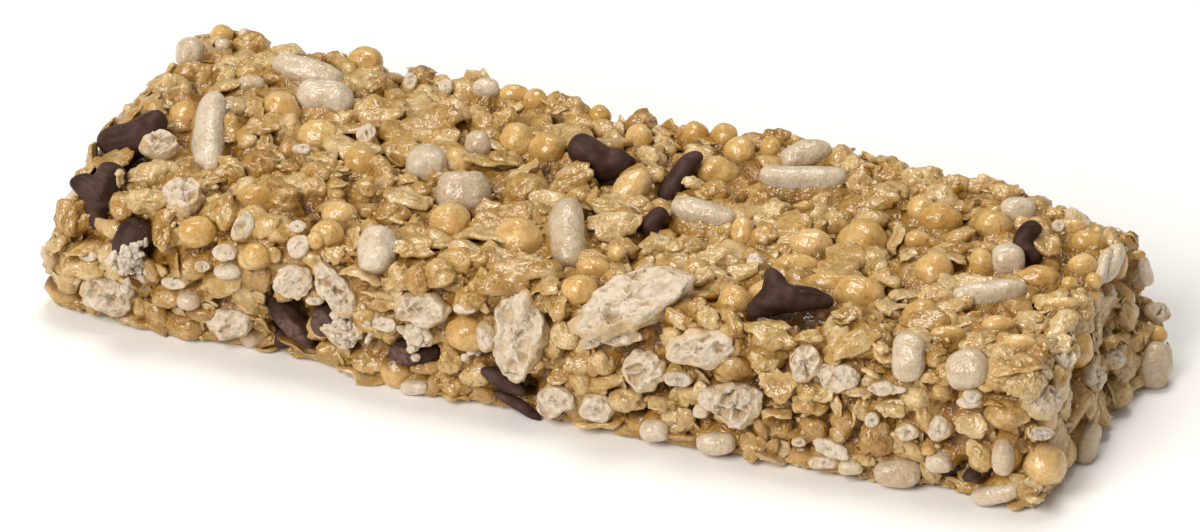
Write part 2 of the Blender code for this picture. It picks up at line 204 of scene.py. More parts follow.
FACING_FLAKES = {
    "top": (
        (-41, 20, 3.2, 1.4, -4), (-39, 2, 2.9, 2.2, 90), (-27.5, 10.5, 4.9, 2.9, 3),
        (-22.5, 10.5, 5.6, 3.1, 27), (-23, 1, 2.8, 1.7, -72), (-6.5, 5.5, 5.2, 2.5, 57),
        (0.5, 9.5, 1.8, 1.8), (4.5, 9, 2.0, 1.3), (14, 3, 2.0, 2.0), (21, 14, 3.6, 2.3, -10),
        (38, 11, 3.2, 2.2, -54), (-20.5, -15.5, 2.0, 1.4), (-14.5, -11.5, 3.8, 2.1),
        (-13, -22, 2.5, 1.6), (-4, -11.5, 7.2, 2.0, 4), (2, -17, 2.2, 1.4, 75), (5.5, -2.5, 3.0, 1.9, 25),
        (0.5, -0.5, 5.0, 2.7, 9), (14.5, -3.5, 3.0, 1.4, 24), (11.5, -6, 2.2, 1.4, 48),
        (13, -11, 1.8, 1.4), (15, -13, 2.4, 1.7, -50), (12.5, -14, 2.7, 1.4, -39),
        (21.5, -14, 4.0, 2.2, -14), (28.5, -12, 4.6, 2.2, 29), (24.5, -12.5, 2.4, 1.3),
        (35, 2.5, 4.4, 1.3, 3), (33, -5.5, 4.6, 1.9, 3), (44.5, -2, 3.6, 2.1, 58),
        (48, -10.5, 1.9, 1.6, 90), (5.5, -2.5, 2.2, 2.0)),
    "front": (
        (-45.5, 5, 4.0, 2.0, 4), (-31.5, 6.5, 4.0, 2.2, 20), (-31.5, 14.5, 2.7, 2.9),
        (-37.5, 10, 1.7, 2.0), (-17.5, 6.5, 2.0, 1.2), (-9, 3.5, 2.4, 2.1, -59), (-1, 5, 2.1, 1.6),
        (3.5, 6, 2.5, 1.8), (6.5, 5, 3.2, 1.3, 15), (1.5, 4, 1.8, 0.8), (17.5, 4, 1.4, 1.2),
        (20.5, 1.5, 2.5, 2.7), (23, 8.5, 3.4, 2.8), (31, 8, 1.3, 2.5), (31.5, 2.5, 1.7, 1.0),
        (30.5, 9.5, 2.6, 1.0), (37, 8, 2.8, 1.4, 99), (41.5, 8.5, 3.1, 2.2), (37.5, 12.5, 1.7, 1.0)),
    "end": ((-7.5, 10.5, 1.7, 1.4),),
}

EDGEWISE_FLAKES = {
    "top": (
        (-43, 9.5, 3.4, 1.0, 21), (-37.5, 4.5, 3.9, 1.2, 90), (-27, 20, 3.0, 1.2, -10),
        (-23.5, 21, 1.7, 0.8, -5), (-14.5, 5.5, 4.7, 1.3, -5), (-18, -3, 3.6, 1.4, -18),
        (-6.5, 19, 1.2, 0.8, 83), (-2.5, 19, 2.4, 1.2, -12), (-13.5, 6.5, 2.5, 0.9, -13),
        (-11, 6.5, 2.3, 0.8, 19), (18.5, 19, 2.1, 1.0, -15), (16.5, 6.5, 1.7, 1.0, -14),
        (16, 11.5, 1.8, 0.9, 23), (25, 6.5, 3.3, 1.0, 68), (27.5, 4, 1.8, 0.8, 23),
        (22.5, -0.5, 4.6, 0.8, -7), (30.5, 6, 3.7, 1.0, -15), (41.5, 3, 3.6, 1.0, 18),
        (-20, -13, 3.0, 0.8, 87), (-18.5, -3.5, 4.2, 1.7, -9), (-16.5, -17.5, 4.4, 1.6, -14),
        (-14, -20, 3.6, 1.2, -4), (-10, -9, 4.2, 1.3, -9), (-1, -13, 3.2, 0.9, 22),
        (13, -6, 1.3, 0.7, 72), (20, -12, 4.7, 1.0, -2), (43.5, -10, 4.8, 1.2, 5),
        (43.5, -8.5, 3.4, 0.9, -7), (44, -6.5, 1.4, 0.7, 101)),
    "front": (
        (-45.5, 7.5, 3.8, 1.4, 2), (-36.5, 7.5, 2.9, 0.8, 82), (-41, 5, 2.3, 0.9, -21),
        (-17, 0, 5.2, 1.2, -12), (-27.5, 3.5, 2.6, 0.8, -32), (11.5, 4.5, 2.7, 1.2, -6),
        (-8.5, 0.5, 2.9, 1.0, -8), (1, 7.5, 2.5, 0.8, 96), (23, 6, 3.4, 1.0, 3),
        (28.5, 7.5, 2.3, 1.0, 93), (30, 7, 2.3, 0.9, 88), (32, 12, 2.1, 0.8, -27),
        (44, 11.5, 2.2, 0.8, -14)),
    "end": ((5, 7.5, 3.1, 0.9, 14),),
}

# White crumbs lying on the front's chips: where they show, spread and how many; half sizes
# from and to; and how far towards the camera they are heaped
CRUMB_PATCHES = ((-40.3, 6.9, 1.6, 60), (-19, 4.5, 1.6, 34), (-16.5, 6.5, 1.5, 20),
                 (-12, 5.7, 1.5, 30), (-7, 5.0, 0.8, 5))
CRUMB_HALF = ((0.25, 0.2, 0.2), (0.7, 0.55, 0.4))
CRUMB_HEAP = (0.9, 2.0)

# Grains strewn where there is room: how many at most, how much of their own size they keep
# clear, half sizes from and to, the most they lean in radians, and how far their tops stand
# over the skin; and how many spots are tried for each
STREWN = {
    "golden": (62, 0.85, (1.5, 1.5, 1.4), (2.2, 2.1, 2.0), 0.3, (0.0, 0.5)),
    "pale": (32, 0.8, (2.0, 1.3, 1.3), (3.6, 1.9, 1.8), 0.35, (0.0, 0.3)),
    "puff": (34, 0.8, (1.2, 1.1, 1.0), (2.4, 2.0, 1.8), 0.3, (-0.2, 0.3)),
    "cluster": (60, 0.8, (1.2, 1.1, 0.9), (2.3, 1.9, 1.5), 0.4, (-0.2, 0.2)),
    "flake": (130, 0.42, (1.8, 1.3, 0.28), (3.1, 2.2, 0.42), 0.6, (-0.3, 0.4)),
    "lump": (480, 0.62, (1.1, 0.8, 0.5), (2.5, 1.8, 1.0), 0.7, (-0.3, 0.2)),
}
SPOTS_TRIED = 40

# Loose grains over the syrup and the crushed oats: how many, half sizes from and to, the
# most they lean in radians, and how far their tops stand over what they lie on
LOOSE = {
    "small_flakes": (1900, (0.8, 0.6, 0.08), (1.6, 1.1, 0.15), 0.65, (0.0, 0.35)),
    "oat_bits": (3800, (0.22, 0.18, 0.12), (0.55, 0.42, 0.30), 1.0, (0.0, 0.25)),
}

# They lie on syrup, or sunk a little in crushed oats, and clear of the chips by a share of
# a chip's reach.  Flakes keep off the foot of the sides, and both lie only where no whole
# grain stands higher than this over them.
SUNK = 0.15 * MM
CHIP_CLEAR = 1.2
FOOT_CLEAR = 1.6 * MM
FLAKE_CLIMB = 0.1 * MM
BIT_CLIMB = 0.6 * MM

# Torn puffs: how thick they are as a share of their width, and the half size past which
# they are made of more points
PUFF_THICKNESS = 0.8
LARGE_PUFF = 1.35 * MM

# The chocolate chips, as in the frame's source: middle of the base, where the tip points
# (from +X, and up), base radius, length, flatness, and the plane a slice left it at
CHIPS = (
    (-46.2, -5.8, 11.9, 51, 31, 2.9, 4.9, 1.0, None),
    (-44.2, -12.2, 10.3, 188, 12, 3.3, 4.9, 1.0, None),
    (-39.9, -16.3, 8.6, 150, 62, 2.8, 3.6, 1.0, None),
    (-7.2, 7.1, 12.4, 0, 3, 3.1, 6.2, 1.0, None),
    (3.2, 7.6, 12.9, 0, -18, 3.0, 3.3, 0.8, None),
    (4.9, -0.6, 12.0, 120, 50, 2.4, 3.0, 0.9, None),
    (21.2, -9.8, 12.3, 160, 62, 3.7, 4.3, 1.0, None),
    (37.4, 8.6, 12.7, 0, 20, 2.8, 3.2, 1.0, None),
    (-26.8, -15.9, 6.0, 0, -40, 2.0, 6.0, 1.0, -16.9),
    (-22.0, -16.0, 7.6, 0, -50, 2.1, 5.4, 1.0, -17.0),
    (-15.2, -16.8, 4.9, 0, -3, 2.0, 5.5, 1.0, -17.9),
    (-6.3, -17.2, 4.7, 0, -17, 1.2, 5.8, 1.0, -18.1),
    (-4.5, -17.0, 2.1, 0, -9, 0.8, 5.0, 1.0, -17.7),
    (-26.4, -15.2, 1.5, 0, 10, 1.0, 1.8, 1.0, None),
    (38.0, -13.4, 1.7, 0, 30, 0.9, 1.8, 1.0, None),
    (41.2, -15.4, 2.4, 90, 40, 0.9, 1.8, 1.0, None),
    (-36.0, 15.0, 8.4, 95, 20, 3.0, 4.0, 1.0, None),
    (-14.0, 15.6, 5.2, 10, 25, 2.6, 4.8, 1.0, None),
    (6.4, 15.2, 9.6, 80, -10, 3.0, 4.2, 1.0, None),
    (24.0, 15.3, 4.6, 170, 15, 2.6, 4.6, 0.8, None),
    (38.6, 14.2, 8.0, 100, 10, 2.8, 3.6, 1.0, None),
    (-47.6, 5.2, 4.8, 200, 30, 2.9, 3.8, 1.0, None),
    (-47.4, 12.4, 9.2, 120, -15, 2.6, 4.0, 0.8, None),
    (-33.0, 5.4, 0.3, 0, 90, 3.2, 3.6, 1.0, None),
    (-11.5, -7.0, 0.3, 0, 90, 2.8, 3.4, 1.0, None),
    (15.6, 6.2, 0.3, 0, 90, 3.3, 3.6, 1.0, None),
    (34.0, -3.6, 0.3, 0, 90, 2.7, 3.2, 1.0, None),
)

# How the chips that show are shaped: balls along a bent line, each as right, up and towards
# the camera from the chip's middle, and its radius
CHIP_BALLS = {
    1: ((-2.8, -0.6, 0, 1.45), (-1.2, -0.6, 0, 1.9), (0.4, 0.4, 0, 1.5), (1.3, 1.3, 0.2, 1.15),
        (1.2, 1.7, 1.0, 0.45)),
    2: ((-1.6, 1.1, 0, 0.55), (-0.6, 1.0, 0, 1.15), (1.0, -0.3, 0, 1.7), (0.5, -2.4, 0, 1.0),
        (1.0, -0.3, 0, 1.7), (1.7, 2.0, 0, 1.2), (2.6, 2.0, -0.2, 0.8)),
    3: ((0.1, -0.1, 0, 1.5), (-0.5, -1.7, 0, 1.4), (0.1, -0.1, 0, 1.5), (1.5, -0.1, 0, 0.9)),
    4: ((-1.1, 1.7, 0, 1.5), (0.2, 0.8, 0, 1.7), (1.0, -0.2, 0, 0.9), (1.6, 0.6, 0, 1.4),
        (2.6, 0.5, 0, 0.9), (3.4, 0.5, 0, 0.45)),
    5: ((0.8, 2.6, 0, 0.75), (0, 2.1, 0, 0.95), (-0.9, 0.9, 0, 1.05), (-1.8, -0.5, 0, 1.0),
        (-2.1, -1.1, 0, 0.85)),
    6: ((0.4, 0.1, 0, 0.95), (-0.5, -0.8, 0, 0.9), (0, -1.2, 0, 0.7)),
    7: ((-0.6, 1.5, 0, 0.65), (-0.3, 0.6, 0, 1.1), (-0.1, -0.5, 0, 1.5), (-1.6, -1.2, 0, 0.9),
        (-2.4, -1.9, 0, 0.5), (-0.1, -0.5, 0, 1.5), (1.0, -0.6, 0, 1.25), (2.6, -0.6, 0, 1.1),
        (4.1, -0.8, 0, 0.75), (4.8, -1.0, 0, 0.4)),
    8: ((-0.5, 1.6, 0, 0.6), (-1.2, 1.3, 0, 0.9), (-1.9, 0.6, 0, 0.8), (-1.6, -0.4, 0, 0.9),
        (-0.8, -1.1, 0, 0.7)),
    9: ((-1.5, 1.2, 0, 0.9), (-0.5, 0.3, 0, 1.25), (0.5, -0.7, 0, 1.25), (1.5, -1.9, 0, 0.75)),
    10: ((-0.9, 0.3, 0, 1.2), (-1.3, -1.1, 0, 1.0), (0.3, -0.3, 0, 1.1), (0.7, -1.9, 0, 0.9)),
    11: ((-1.0, -0.6, 0, 1.0), (0, -0.6, 0, 1.2), (1.2, -0.8, 0, 1.0), (2.2, -0.5, 0, 0.8)),
    12: ((-1.2, 0.4, 0, 0.5), (-0.1, -0.1, 0, 0.9), (1.1, -0.8, 0, 0.9), (2.3, -1.6, 0, 0.5)),
    13: ((-1.8, 0.6, 0, 0.3), (-0.4, -0.1, 0, 0.65), (1.0, -0.9, 0, 0.65), (2.3, -1.8, 0, 0.35)),
}

# How far a whole chip is brought towards the camera, out of the syrup; and a drop's half
# outline from its tip to its base, as shares of its radius and length
CHIP_LIFT = 1.2
CHIP_PROFILE = ((0.0, 1.0), (0.16, 0.97), (0.36, 0.83), (0.60, 0.63), (0.84, 0.40), (0.98, 0.20),
                (0.97, 0.08), (0.84, 0.01), (0.0, 0.0))


# ---------------------------------------------------------------- arithmetic


def unit(rows):
    """Scale each row to length one."""
    return rows / np.maximum(np.linalg.norm(rows, axis=-1, keepdims=True), 1e-12)


def scatter_value(cells, seed):
    """A fixed random number from 0 to 1 for each whole-number cell."""
    mixed = (cells[..., 0] * 73856093) ^ (cells[..., 1] * 19349663) ^ (cells[..., 2] * 83492791)
    mixed = (mixed ^ (seed * 2654435761)) & 0xFFFFFFFF
    mixed = ((mixed ^ (mixed >> 15)) * 2246822519) & 0xFFFFFFFF
    mixed = ((mixed ^ (mixed >> 13)) * 3266489917) & 0xFFFFFFFF
    return ((mixed ^ (mixed >> 16)) & 0xFFFFFF) / float(0xFFFFFF)


def lumps(points, size, seed):
    """Smooth lumps from -1 to 1: random values on a grid of this size, blended between."""
    place = points / size
    corner = np.floor(place).astype(np.int64)
    share = place - corner
    share = share * share * (3 - 2 * share)
    total = np.zeros(points.shape[:-1])
    for step in np.ndindex(2, 2, 2):
        near = np.where(np.array(step) == 1, share, 1 - share).prod(axis=-1)
        total += near * scatter_value(corner + np.array(step), seed)
    return 2 * total - 1


def pebbles(points, size, seed):
    """Distance to the nearest of one random point per cell, in cells; that point's own value;
    the way from it; and the distance to the next nearest."""
    place = points / size
    corner = np.floor(place).astype(np.int64)
    nearest = np.full(points.shape[:-1], 9.0)
    second = np.full(points.shape[:-1], 9.0)
    value = np.zeros(points.shape[:-1])
    way = np.zeros(points.shape)
    for step in np.ndindex(3, 3, 3):
        cell = corner + np.array(step) - 1
        spot = np.stack([scatter_value(cell, seed + k) for k in (1, 2, 3)], axis=-1)
        gap = place - (cell + spot)
        away = np.linalg.norm(gap, axis=-1)
        closer = away < nearest
        second = np.where(closer, nearest, np.minimum(second, away))
        value = np.where(closer, scatter_value(cell, seed + 4), value)
        way = np.where(closer[..., None], gap, way)
        nearest = np.where(closer, away, nearest)
    return nearest, value, way, second


def tilted_cells(points, size, seed):
    """How high each point stands, in cells, on the tilted plane of the cell it is in, each
    cell leaning its own way like overlapping flakes; and the cell's own value."""
    _, value, way, _ = pebbles(points, size, seed)
    lean = np.stack((np.cos(40 * value), np.sin(57 * value), np.cos(83 * value)), axis=-1)
    return (way * lean).sum(axis=-1), value


def read_table(table, first, step, u, v):
    """Read a table of heights between its points, by blending the four around each place;
    a place past the table's edge is drawn in to it."""
    i = np.clip((u - first[0]) / step, 0, table.shape[0] - 1.001)
    j = np.clip((v - first[1]) / step, 0, table.shape[1] - 1.001)
    a, b = i.astype(int), j.astype(int)
    s, t = i - a, j - b
    low = table[a, b] * (1 - s) + table[a + 1, b] * s
    high = table[a, b + 1] * (1 - s) + table[a + 1, b + 1] * s
    return low * (1 - t) + high * t


# ---------------------------------------------------------------- meshes


def make_piece(name, points, quads, tris, material, node_slot, **marks):
    """Make one piece of the bar from whole arrays; marks are numbers kept on its points."""
    mesh = bpy.data.meshes.new(name)
    corners = np.concatenate((quads.ravel(), tris.ravel())).astype(np.int32)
    sides = np.concatenate((np.full(len(quads), 4), np.full(len(tris), 3)))
    starts = np.concatenate(((0,), np.cumsum(sides)[:-1])).astype(np.int32)
    mesh.vertices.add(len(points))
    mesh.vertices.foreach_set("co", np.ascontiguousarray(points, np.float32).ravel())
    mesh.loops.add(len(corners))
    mesh.loops.foreach_set("vertex_index", corners)
    mesh.polygons.add(len(sides))
    mesh.polygons.foreach_set("loop_start", starts)
    mesh.update(calc_edges=True)
    mesh.validate()
    for mark, values in marks.items():
        kept = mesh.attributes.new(mark, "FLOAT", "POINT")
        kept.data.foreach_set("value", np.ascontiguousarray(values, np.float32).ravel())
    mesh.shade_smooth()
    mesh.materials.append(material)
    piece = bpy.data.objects.new(name, mesh)
    bpy.context.scene.collection.objects.link(piece)
    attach(piece, "root")
    return piece


def globe(rows, around, crowding=1.0):
    """Unit directions over a ball: a pole, rings of points from it, a pole; with its faces.
    Ring k lies k / (rows + 1) to the power of crowding of the way down."""
    down = math.pi * (np.arange(1, rows + 1) / (rows + 1)) ** crowding
    turn = np.arange(around) * (2 * math.pi / around)
    a, b = np.meshgrid(down, turn, indexing="ij")
    ring = np.stack((np.sin(a) * np.cos(b), np.sin(a) * np.sin(b), np.cos(a)), axis=-1)
    points = np.concatenate(([[0, 0, 1]], ring.reshape(-1, 3), [[0, 0, -1]]))
    first = 1 + np.arange(rows - 1)[:, None] * around + np.arange(around)
    beside = np.roll(first, -1, axis=1)
    quads = np.stack((first, first + around, beside + around, beside), axis=-1).reshape(-1, 4)
    rim = 1 + np.arange(around)
    last = rim + (rows - 1) * around
    top = np.stack((np.zeros(around, int), rim, np.roll(rim, -1)), axis=-1)
    low = np.stack((np.roll(last, -1), last, np.full(around, len(points) - 1)), axis=-1)
    return points, quads, np.concatenate((top, low))


def many(quads, tris, count, size):
    """Repeat one shape's faces for each of many copies that have this many points."""
    shift = (np.arange(count) * size)[:, None, None]
    return (quads[None] + shift).reshape(-1, 4), (tris[None] + shift).reshape(-1, 3)


# ---------------------------------------------------------------- the bar's skin


def frame_tree():
    """All of the frame's nodes as one surface for rays."""
    points, faces, base = [], [], 0
    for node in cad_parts.values():
        points.extend(v.co[:] for v in node.data.vertices)
        faces.extend(tuple(base + i for i in p.vertices) for p in node.data.polygons)
        base = len(points)
    return BVHTree.FromPolygons(points, faces)


def neighbourhood(table):
    """Each table value with its eight neighbours, edges repeated."""
    wide = np.pad(table, 1, mode="edge")
    m, n = table.shape
    return [wide[a:a + m, b:b + n] for a in range(3) for b in range(3)]


def measure_side(tree, axis, sign, low, high):
    """Heights of one side of the bar on a coarse grid, by rays from outside, evened out."""
    others = [k for k in range(3) if k != axis]
    count = [int(round((high[k] - low[k]) / RAY_STEP)) + 1 for k in (0, 1)]
    table = np.full(count, np.nan)
    aim = Vector([-sign if k == axis else 0.0 for k in range(3)])
    for i, j in np.ndindex(*count):
        start = Vector((0.0, 0.0, 0.0))
        start[axis] = sign * RAY_START
        start[others[0]] = low[0] + i * RAY_STEP
        start[others[1]] = low[1] + j * RAY_STEP
        hit = tree.ray_cast(start, aim)[0]
        if hit is not None:
            table[i, j] = hit[axis]
    table = np.where(np.isnan(table), np.nanmedian(table), table)
    for _ in range(2):
        table = np.median(neighbourhood(table), axis=0)
    table = np.mean(neighbourhood(table), axis=0)
    return lambda u, v: read_table(table, low, RAY_STEP, u, v)


def box_grid(half, cell):
    """A closed skin of small squares over a box: its points, from -1 to 1, and its faces."""
    n = np.round(2 * half / cell).astype(int)
    corners = []
    for axis in range(3):
        p, q = [k for k in range(3) if k != axis]
        a, b = np.meshgrid(np.arange(n[p]), np.arange(n[q]), indexing="ij")
        for end in (0, 1):
            square = np.zeros((a.size, 4, 3), int)
            square[:, :, axis] = end * n[axis]
            for k, (da, db) in enumerate(((0, 0), (1, 0), (1, 1), (0, 1))):
                square[:, k, p] = (a + da).ravel()
                square[:, k, q] = (b + db).ravel()
            flip = (end == 1) == (axis == 1)
            corners.append(square[:, ::-1] if flip else square)
    corners = np.concatenate(corners)
    spots, index = np.unique(corners.reshape(-1, 3), axis=0, return_inverse=True)
    return 2.0 * spots / n - 1, index.reshape(-1, 4)


def outward(points, quads):
    """The outward direction at each point, from the faces round it."""
    a, b, c, d = (points[quads[:, k]] for k in range(4))
    across = np.cross(c - a, d - b)
    total = np.zeros_like(points)
    for k in range(4):
        np.add.at(total, quads[:, k], across)
    return unit(total)


def bar_skin():
    """The smooth skin of the bar: a box with its edges rounded to quarter circles, carried
    to the outlines measured on each side."""
    tree = frame_tree()
    top = measure_side(tree, 2, 1, *SIDE_SPANS["top"])
    front = measure_side(tree, 1, -1, *SIDE_SPANS["front"])
    back = measure_side(tree, 1, 1, *SIDE_SPANS["back"])
    left = measure_side(tree, 0, -1, *SIDE_SPANS["left"])
    right = measure_side(tree, 0, 1, *SIDE_SPANS["right"])
    spots, quads = box_grid(SKIN_HALF, SKIN_CELL)
    box = spots * SKIN_HALF
    bend = np.where(box[:, 2:] < 0, (EDGE_ROUND, EDGE_ROUND, FOOT_ROUND), (EDGE_ROUND,) * 3)
    inner = np.clip(box, bend - SKIN_HALF, SKIN_HALF - bend)
    box = inner + unit((box - inner) / bend) * bend
    z = box[:, 2] + SKIN_HALF[2]
    a = left(box[:, 1], z)
    b = right(box[:, 1], z)
    x = a + (b - a) * (box[:, 0] / SKIN_HALF[0] + 1) / 2
    a = front(x, z)
    b = back(x, z)
    y = a + (b - a) * (box[:, 1] / SKIN_HALF[1] + 1) / 2
    z = z / (2 * SKIN_HALF[2]) * top(x, y)
    points = np.stack((x, y, z), axis=1)
    return points, quads, outward(points, quads)


# ---------------------------------------------------------------- seats for the grains


class Grains:
    """Where the grains of one kind lie: centres, their own three axes, half sizes, and the
    skin's point and direction over each."""

    PARTS = ("centre", "axes", "half", "seat", "normal")

    def __init__(self, centre, axes, half, seat, normal):
        self.centre = centre
        self.axes = axes
        self.half = half
        self.seat = seat
        self.normal = normal
        self.count = len(centre)

    def only(self, chosen):
        """Some of these grains."""
        return Grains(*(getattr(self, part)[chosen] for part in self.PARTS))

    def joined(self, other):
        """These grains and others as one kind."""
        pairs = ((getattr(self, part), getattr(other, part)) for part in self.PARTS)
        return Grains(*(np.concatenate(pair) for pair in pairs))

    def room(self):
        """How far each grain reaches round its middle."""
        return np.sort(self.half, axis=1)[:, 1:].mean(axis=1)


def camera_ways():
    """The camera's right, up and back directions."""
    az, el = math.radians(AZIMUTH), math.radians(ELEVATION)
    right = np.array((math.cos(az), math.sin(az), 0.0))
    up = np.array((-math.sin(az) * math.sin(el), math.cos(az) * math.sin(el), math.cos(el)))
    back = np.array((math.sin(az) * math.cos(el), -math.cos(az) * math.cos(el), math.sin(el)))
    return right, up, back


RIGHT, UP, BACK = camera_ways()


def reach_along(axes, half, way):
    """How far an ellipsoid with these axes and half sizes reaches along a direction."""
    return np.sqrt((((axes * way[:, None, :]).sum(axis=2) * half) ** 2).sum(axis=1))


def seen_rows(table):
    """A table's rows as arrays: places in the bar, size across, size up, and lean."""
    places, sizes = [], []
    for face, rows in table.items():
        for row in rows:
            u, v, across, up, lean = row if len(row) == 5 else (*row, 0)
            level = READING[face]
            place = {"top": (u, v, level), "front": (u, level, v), "end": (level, u, v)}[face]
            places.append(place)
            sizes.append((across / 2, up / 2, lean))
    return np.array(places) * MM, np.array(sizes)


def skin_under(places):
    """Where the camera's line through each place first meets the skin, or comes nearest to
    it, as points of the skin; and the places, those outside the outline drawn in to it.  All
    points close to the line count as on it, and of those the foremost is taken."""
    close, outside, forward = 0.5 * MM, 0.6 * MM, 0.02
    facing = np.flatnonzero(skin_normal @ BACK > 0.1)
    depth = skin[facing] @ BACK
    flat = np.stack((skin[facing] @ RIGHT, skin[facing] @ UP), axis=1)
    seat = np.zeros(len(places), int)
    for k, place in enumerate(places):
        away = np.hypot(*(flat - (place @ RIGHT, place @ UP)).T)
        score = np.where(away < close, close, away) - forward * depth
        seat[k] = facing[np.argmin(score)]
    gap = skin[seat] - places
    gap -= BACK * (gap @ BACK)[:, None]
    past = np.linalg.norm(gap, axis=1, keepdims=True) > outside
    return seat, np.where(past, places + gap, places)


def seen_axes(kind, normal, lean):
    """Long, wide and up axes of grains that show at this lean.  "round" ones are square to
    the camera; "long" ones lie half way down to the skin; "facing" ones turn their flat side
    between the skin's direction and the camera's, and "edgewise" ones show their rim."""
    along = RIGHT * np.cos(lean) + UP * np.sin(lean)
    beside = UP * np.cos(lean) - RIGHT * np.sin(lean)
    back = np.broadcast_to(BACK, along.shape)
    if kind == "long":
        slope = (along * normal).sum(axis=1, keepdims=True)
        slope = 0.5 * slope / np.maximum(normal @ BACK, 0.3)[:, None]
        along = unit(along - back * slope)
    if kind == "facing":
        up = unit(normal + 0.8 * back + 0.25 * beside)
        along = unit(along - up * (along * up).sum(axis=1, keepdims=True))
    elif kind == "edgewise":
        up = unit(beside + 0.35 * back)
    else:
        up = unit(back - along * (back * along).sum(axis=1, keepdims=True))
    return np.stack((along, np.cross(up, along), up), axis=1)


def seen_half(kind, sizes, axes):
    """Half sizes along those axes of grains that reach this far across and up as seen: an
    axis that runs away from the camera is longer than it looks."""
    half = np.stack((sizes[:, 0], sizes[:, 1], sizes[:, 1]), axis=1) * MM
    shown = np.sqrt(np.maximum(1 - (axes @ BACK) ** 2, 0.2))
    half[:, 0] /= shown[:, 0]
    if kind == "facing":
        half[:, 1] /= shown[:, 1]
        half[:, 2] = FLAKE_HALF
    elif kind == "edgewise":
        half[:, 2] = 0.36 * half[:, 2]
        half[:, 1] = np.minimum(half[:, 0], RIM_DEPTH)
    elif kind == "round":
        half[:, 2] = np.minimum(half[:, 0], half[:, 1])
    return half


def as_seen(table, kind, rise):
    """Seat the grains of a table so that each shows where its row says, at its size, lying
    as its kind does, with this share of its upper half above the skin.  It is let in along
    the camera's line where the skin faces the camera, and square to the skin elsewhere."""
    places, sizes = seen_rows(table)
    seat, places = skin_under(places)
    normal = skin_normal[seat]
    axes = seen_axes(kind, normal, np.radians(sizes[:, 2:]))
    half = seen_half(kind, sizes, axes)
    share = np.clip(((normal @ BACK)[:, None] - 0.25) / 0.35, 0, 1)
    inward = unit(BACK * share + normal * (1 - share))
    level = reach_along(axes, half, normal) * (1 - rise)
    steps = level / np.maximum((normal * inward).sum(axis=1), 0.45)
    line = places + BACK * ((skin[seat] - places) @ BACK)[:, None]
    centre = line - inward * steps[:, None]
    upright = np.broadcast_to((0.0, 0.0, 1.0), normal.shape)
    centre[:, 2] = np.maximum(centre[:, 2], 0.85 * reach_along(axes, half, upright))
    return Grains(centre, axes, half, skin[seat], normal)


def own_axes(normal, turn, tilt, towards):
    """Long, wide and up axes for each grain: up is the skin's direction, leaned by tilt
    towards a heading, and the long axis is turned round it from +X, or +Y on an end."""
    along = np.where(np.abs(normal[:, :1]) > 0.75, (0.0, 1.0, 0.0), (1.0, 0.0, 0.0))
    along = unit(along - normal * (along * normal).sum(axis=1, keepdims=True))
    beside = np.cross(normal, along)
    head = along * np.cos(towards)[:, None] + beside * np.sin(towards)[:, None]
    up = unit(normal * np.cos(tilt)[:, None] + head * np.sin(tilt)[:, None])
    long = along * np.cos(turn)[:, None] + beside * np.sin(turn)[:, None]
    long = unit(long - up * (long * up).sum(axis=1, keepdims=True))
    return np.stack((long, np.cross(up, long), up), axis=1)


class Crowd:
    """The places already taken, so that new grains keep clear of them and, seen from the
    camera, don't lie in front of what is to be seen."""

    def __init__(self):
        self.place = np.zeros((0, 3))
        self.room = np.zeros(0)
        self.seen = np.zeros(0, bool)

    def take(self, place, room, seen=False):
        """Keep these places, with this much room round each, and whether they are to be
        seen."""
        self.place = np.concatenate((self.place, place))
        self.room = np.concatenate((self.room, room))
        self.seen = np.concatenate((self.seen, np.full(len(place), seen)))

    def hides(self, places, rooms):
        """Whether a grain at each place, all but its rim, would lie in front of something
        that is to be seen."""
        place, room = self.place[self.seen], self.room[self.seen]
        nearer = (places @ BACK)[:, None] - place @ BACK > 0
        right = (places @ RIGHT)[:, None] - place @ RIGHT
        up = (places @ UP)[:, None] - place @ UP
        return (nearer & (np.hypot(right, up) < 0.9 * room + 0.6 * rooms[:, None])).any(axis=1)

    def free(self, place, room):
        """Whether a grain with this much room round it may lie here."""
        if len(self.room) == 0:
            return True
        away = np.linalg.norm(self.place - place, axis=1)
        if (away < self.room + room).any():
            return False
        return not self.hides(place[None], np.array([room]))[0]


def strewn(kind, where):
    """Grains of one kind strewn over part of the skin where there is still room."""
    count, closeness, low, high, lean, rise = STREWN[kind]
    chosen, sizes = [], []
    for k in rng.permutation(where)[:SPOTS_TRIED * count]:
        half = rng.uniform(low, high) * MM
        room = closeness * np.sort(half)[1:].mean()
        spot = skin[k] - skin_normal[k] * half[2]
        if not crowd.free(spot, room):
            continue
        crowd.take(spot[None], np.array([room]))
        chosen.append(k)
        sizes.append(half)
        if len(chosen) == count:
            break
    chosen = np.array(chosen)
    return lying(skin[chosen], chosen, np.array(sizes), lean, rise)


def lying(places, chosen, half, lean, rise):
    """Grains over chosen points of the skin, leaned and turned at random, with their tops
    between two heights over these places."""
    n = len(chosen)
    ways = skin_normal[chosen]
    axes = own_axes(ways, rng.uniform(0, 2 * math.pi, n), rng.uniform(0, lean, n),
                    rng.uniform(0, 2 * math.pi, n))
    level = reach_along(axes, half, ways) - rng.uniform(*rise, n) * MM
    return Grains(places - ways * level[:, None], axes, half, skin[chosen], ways)


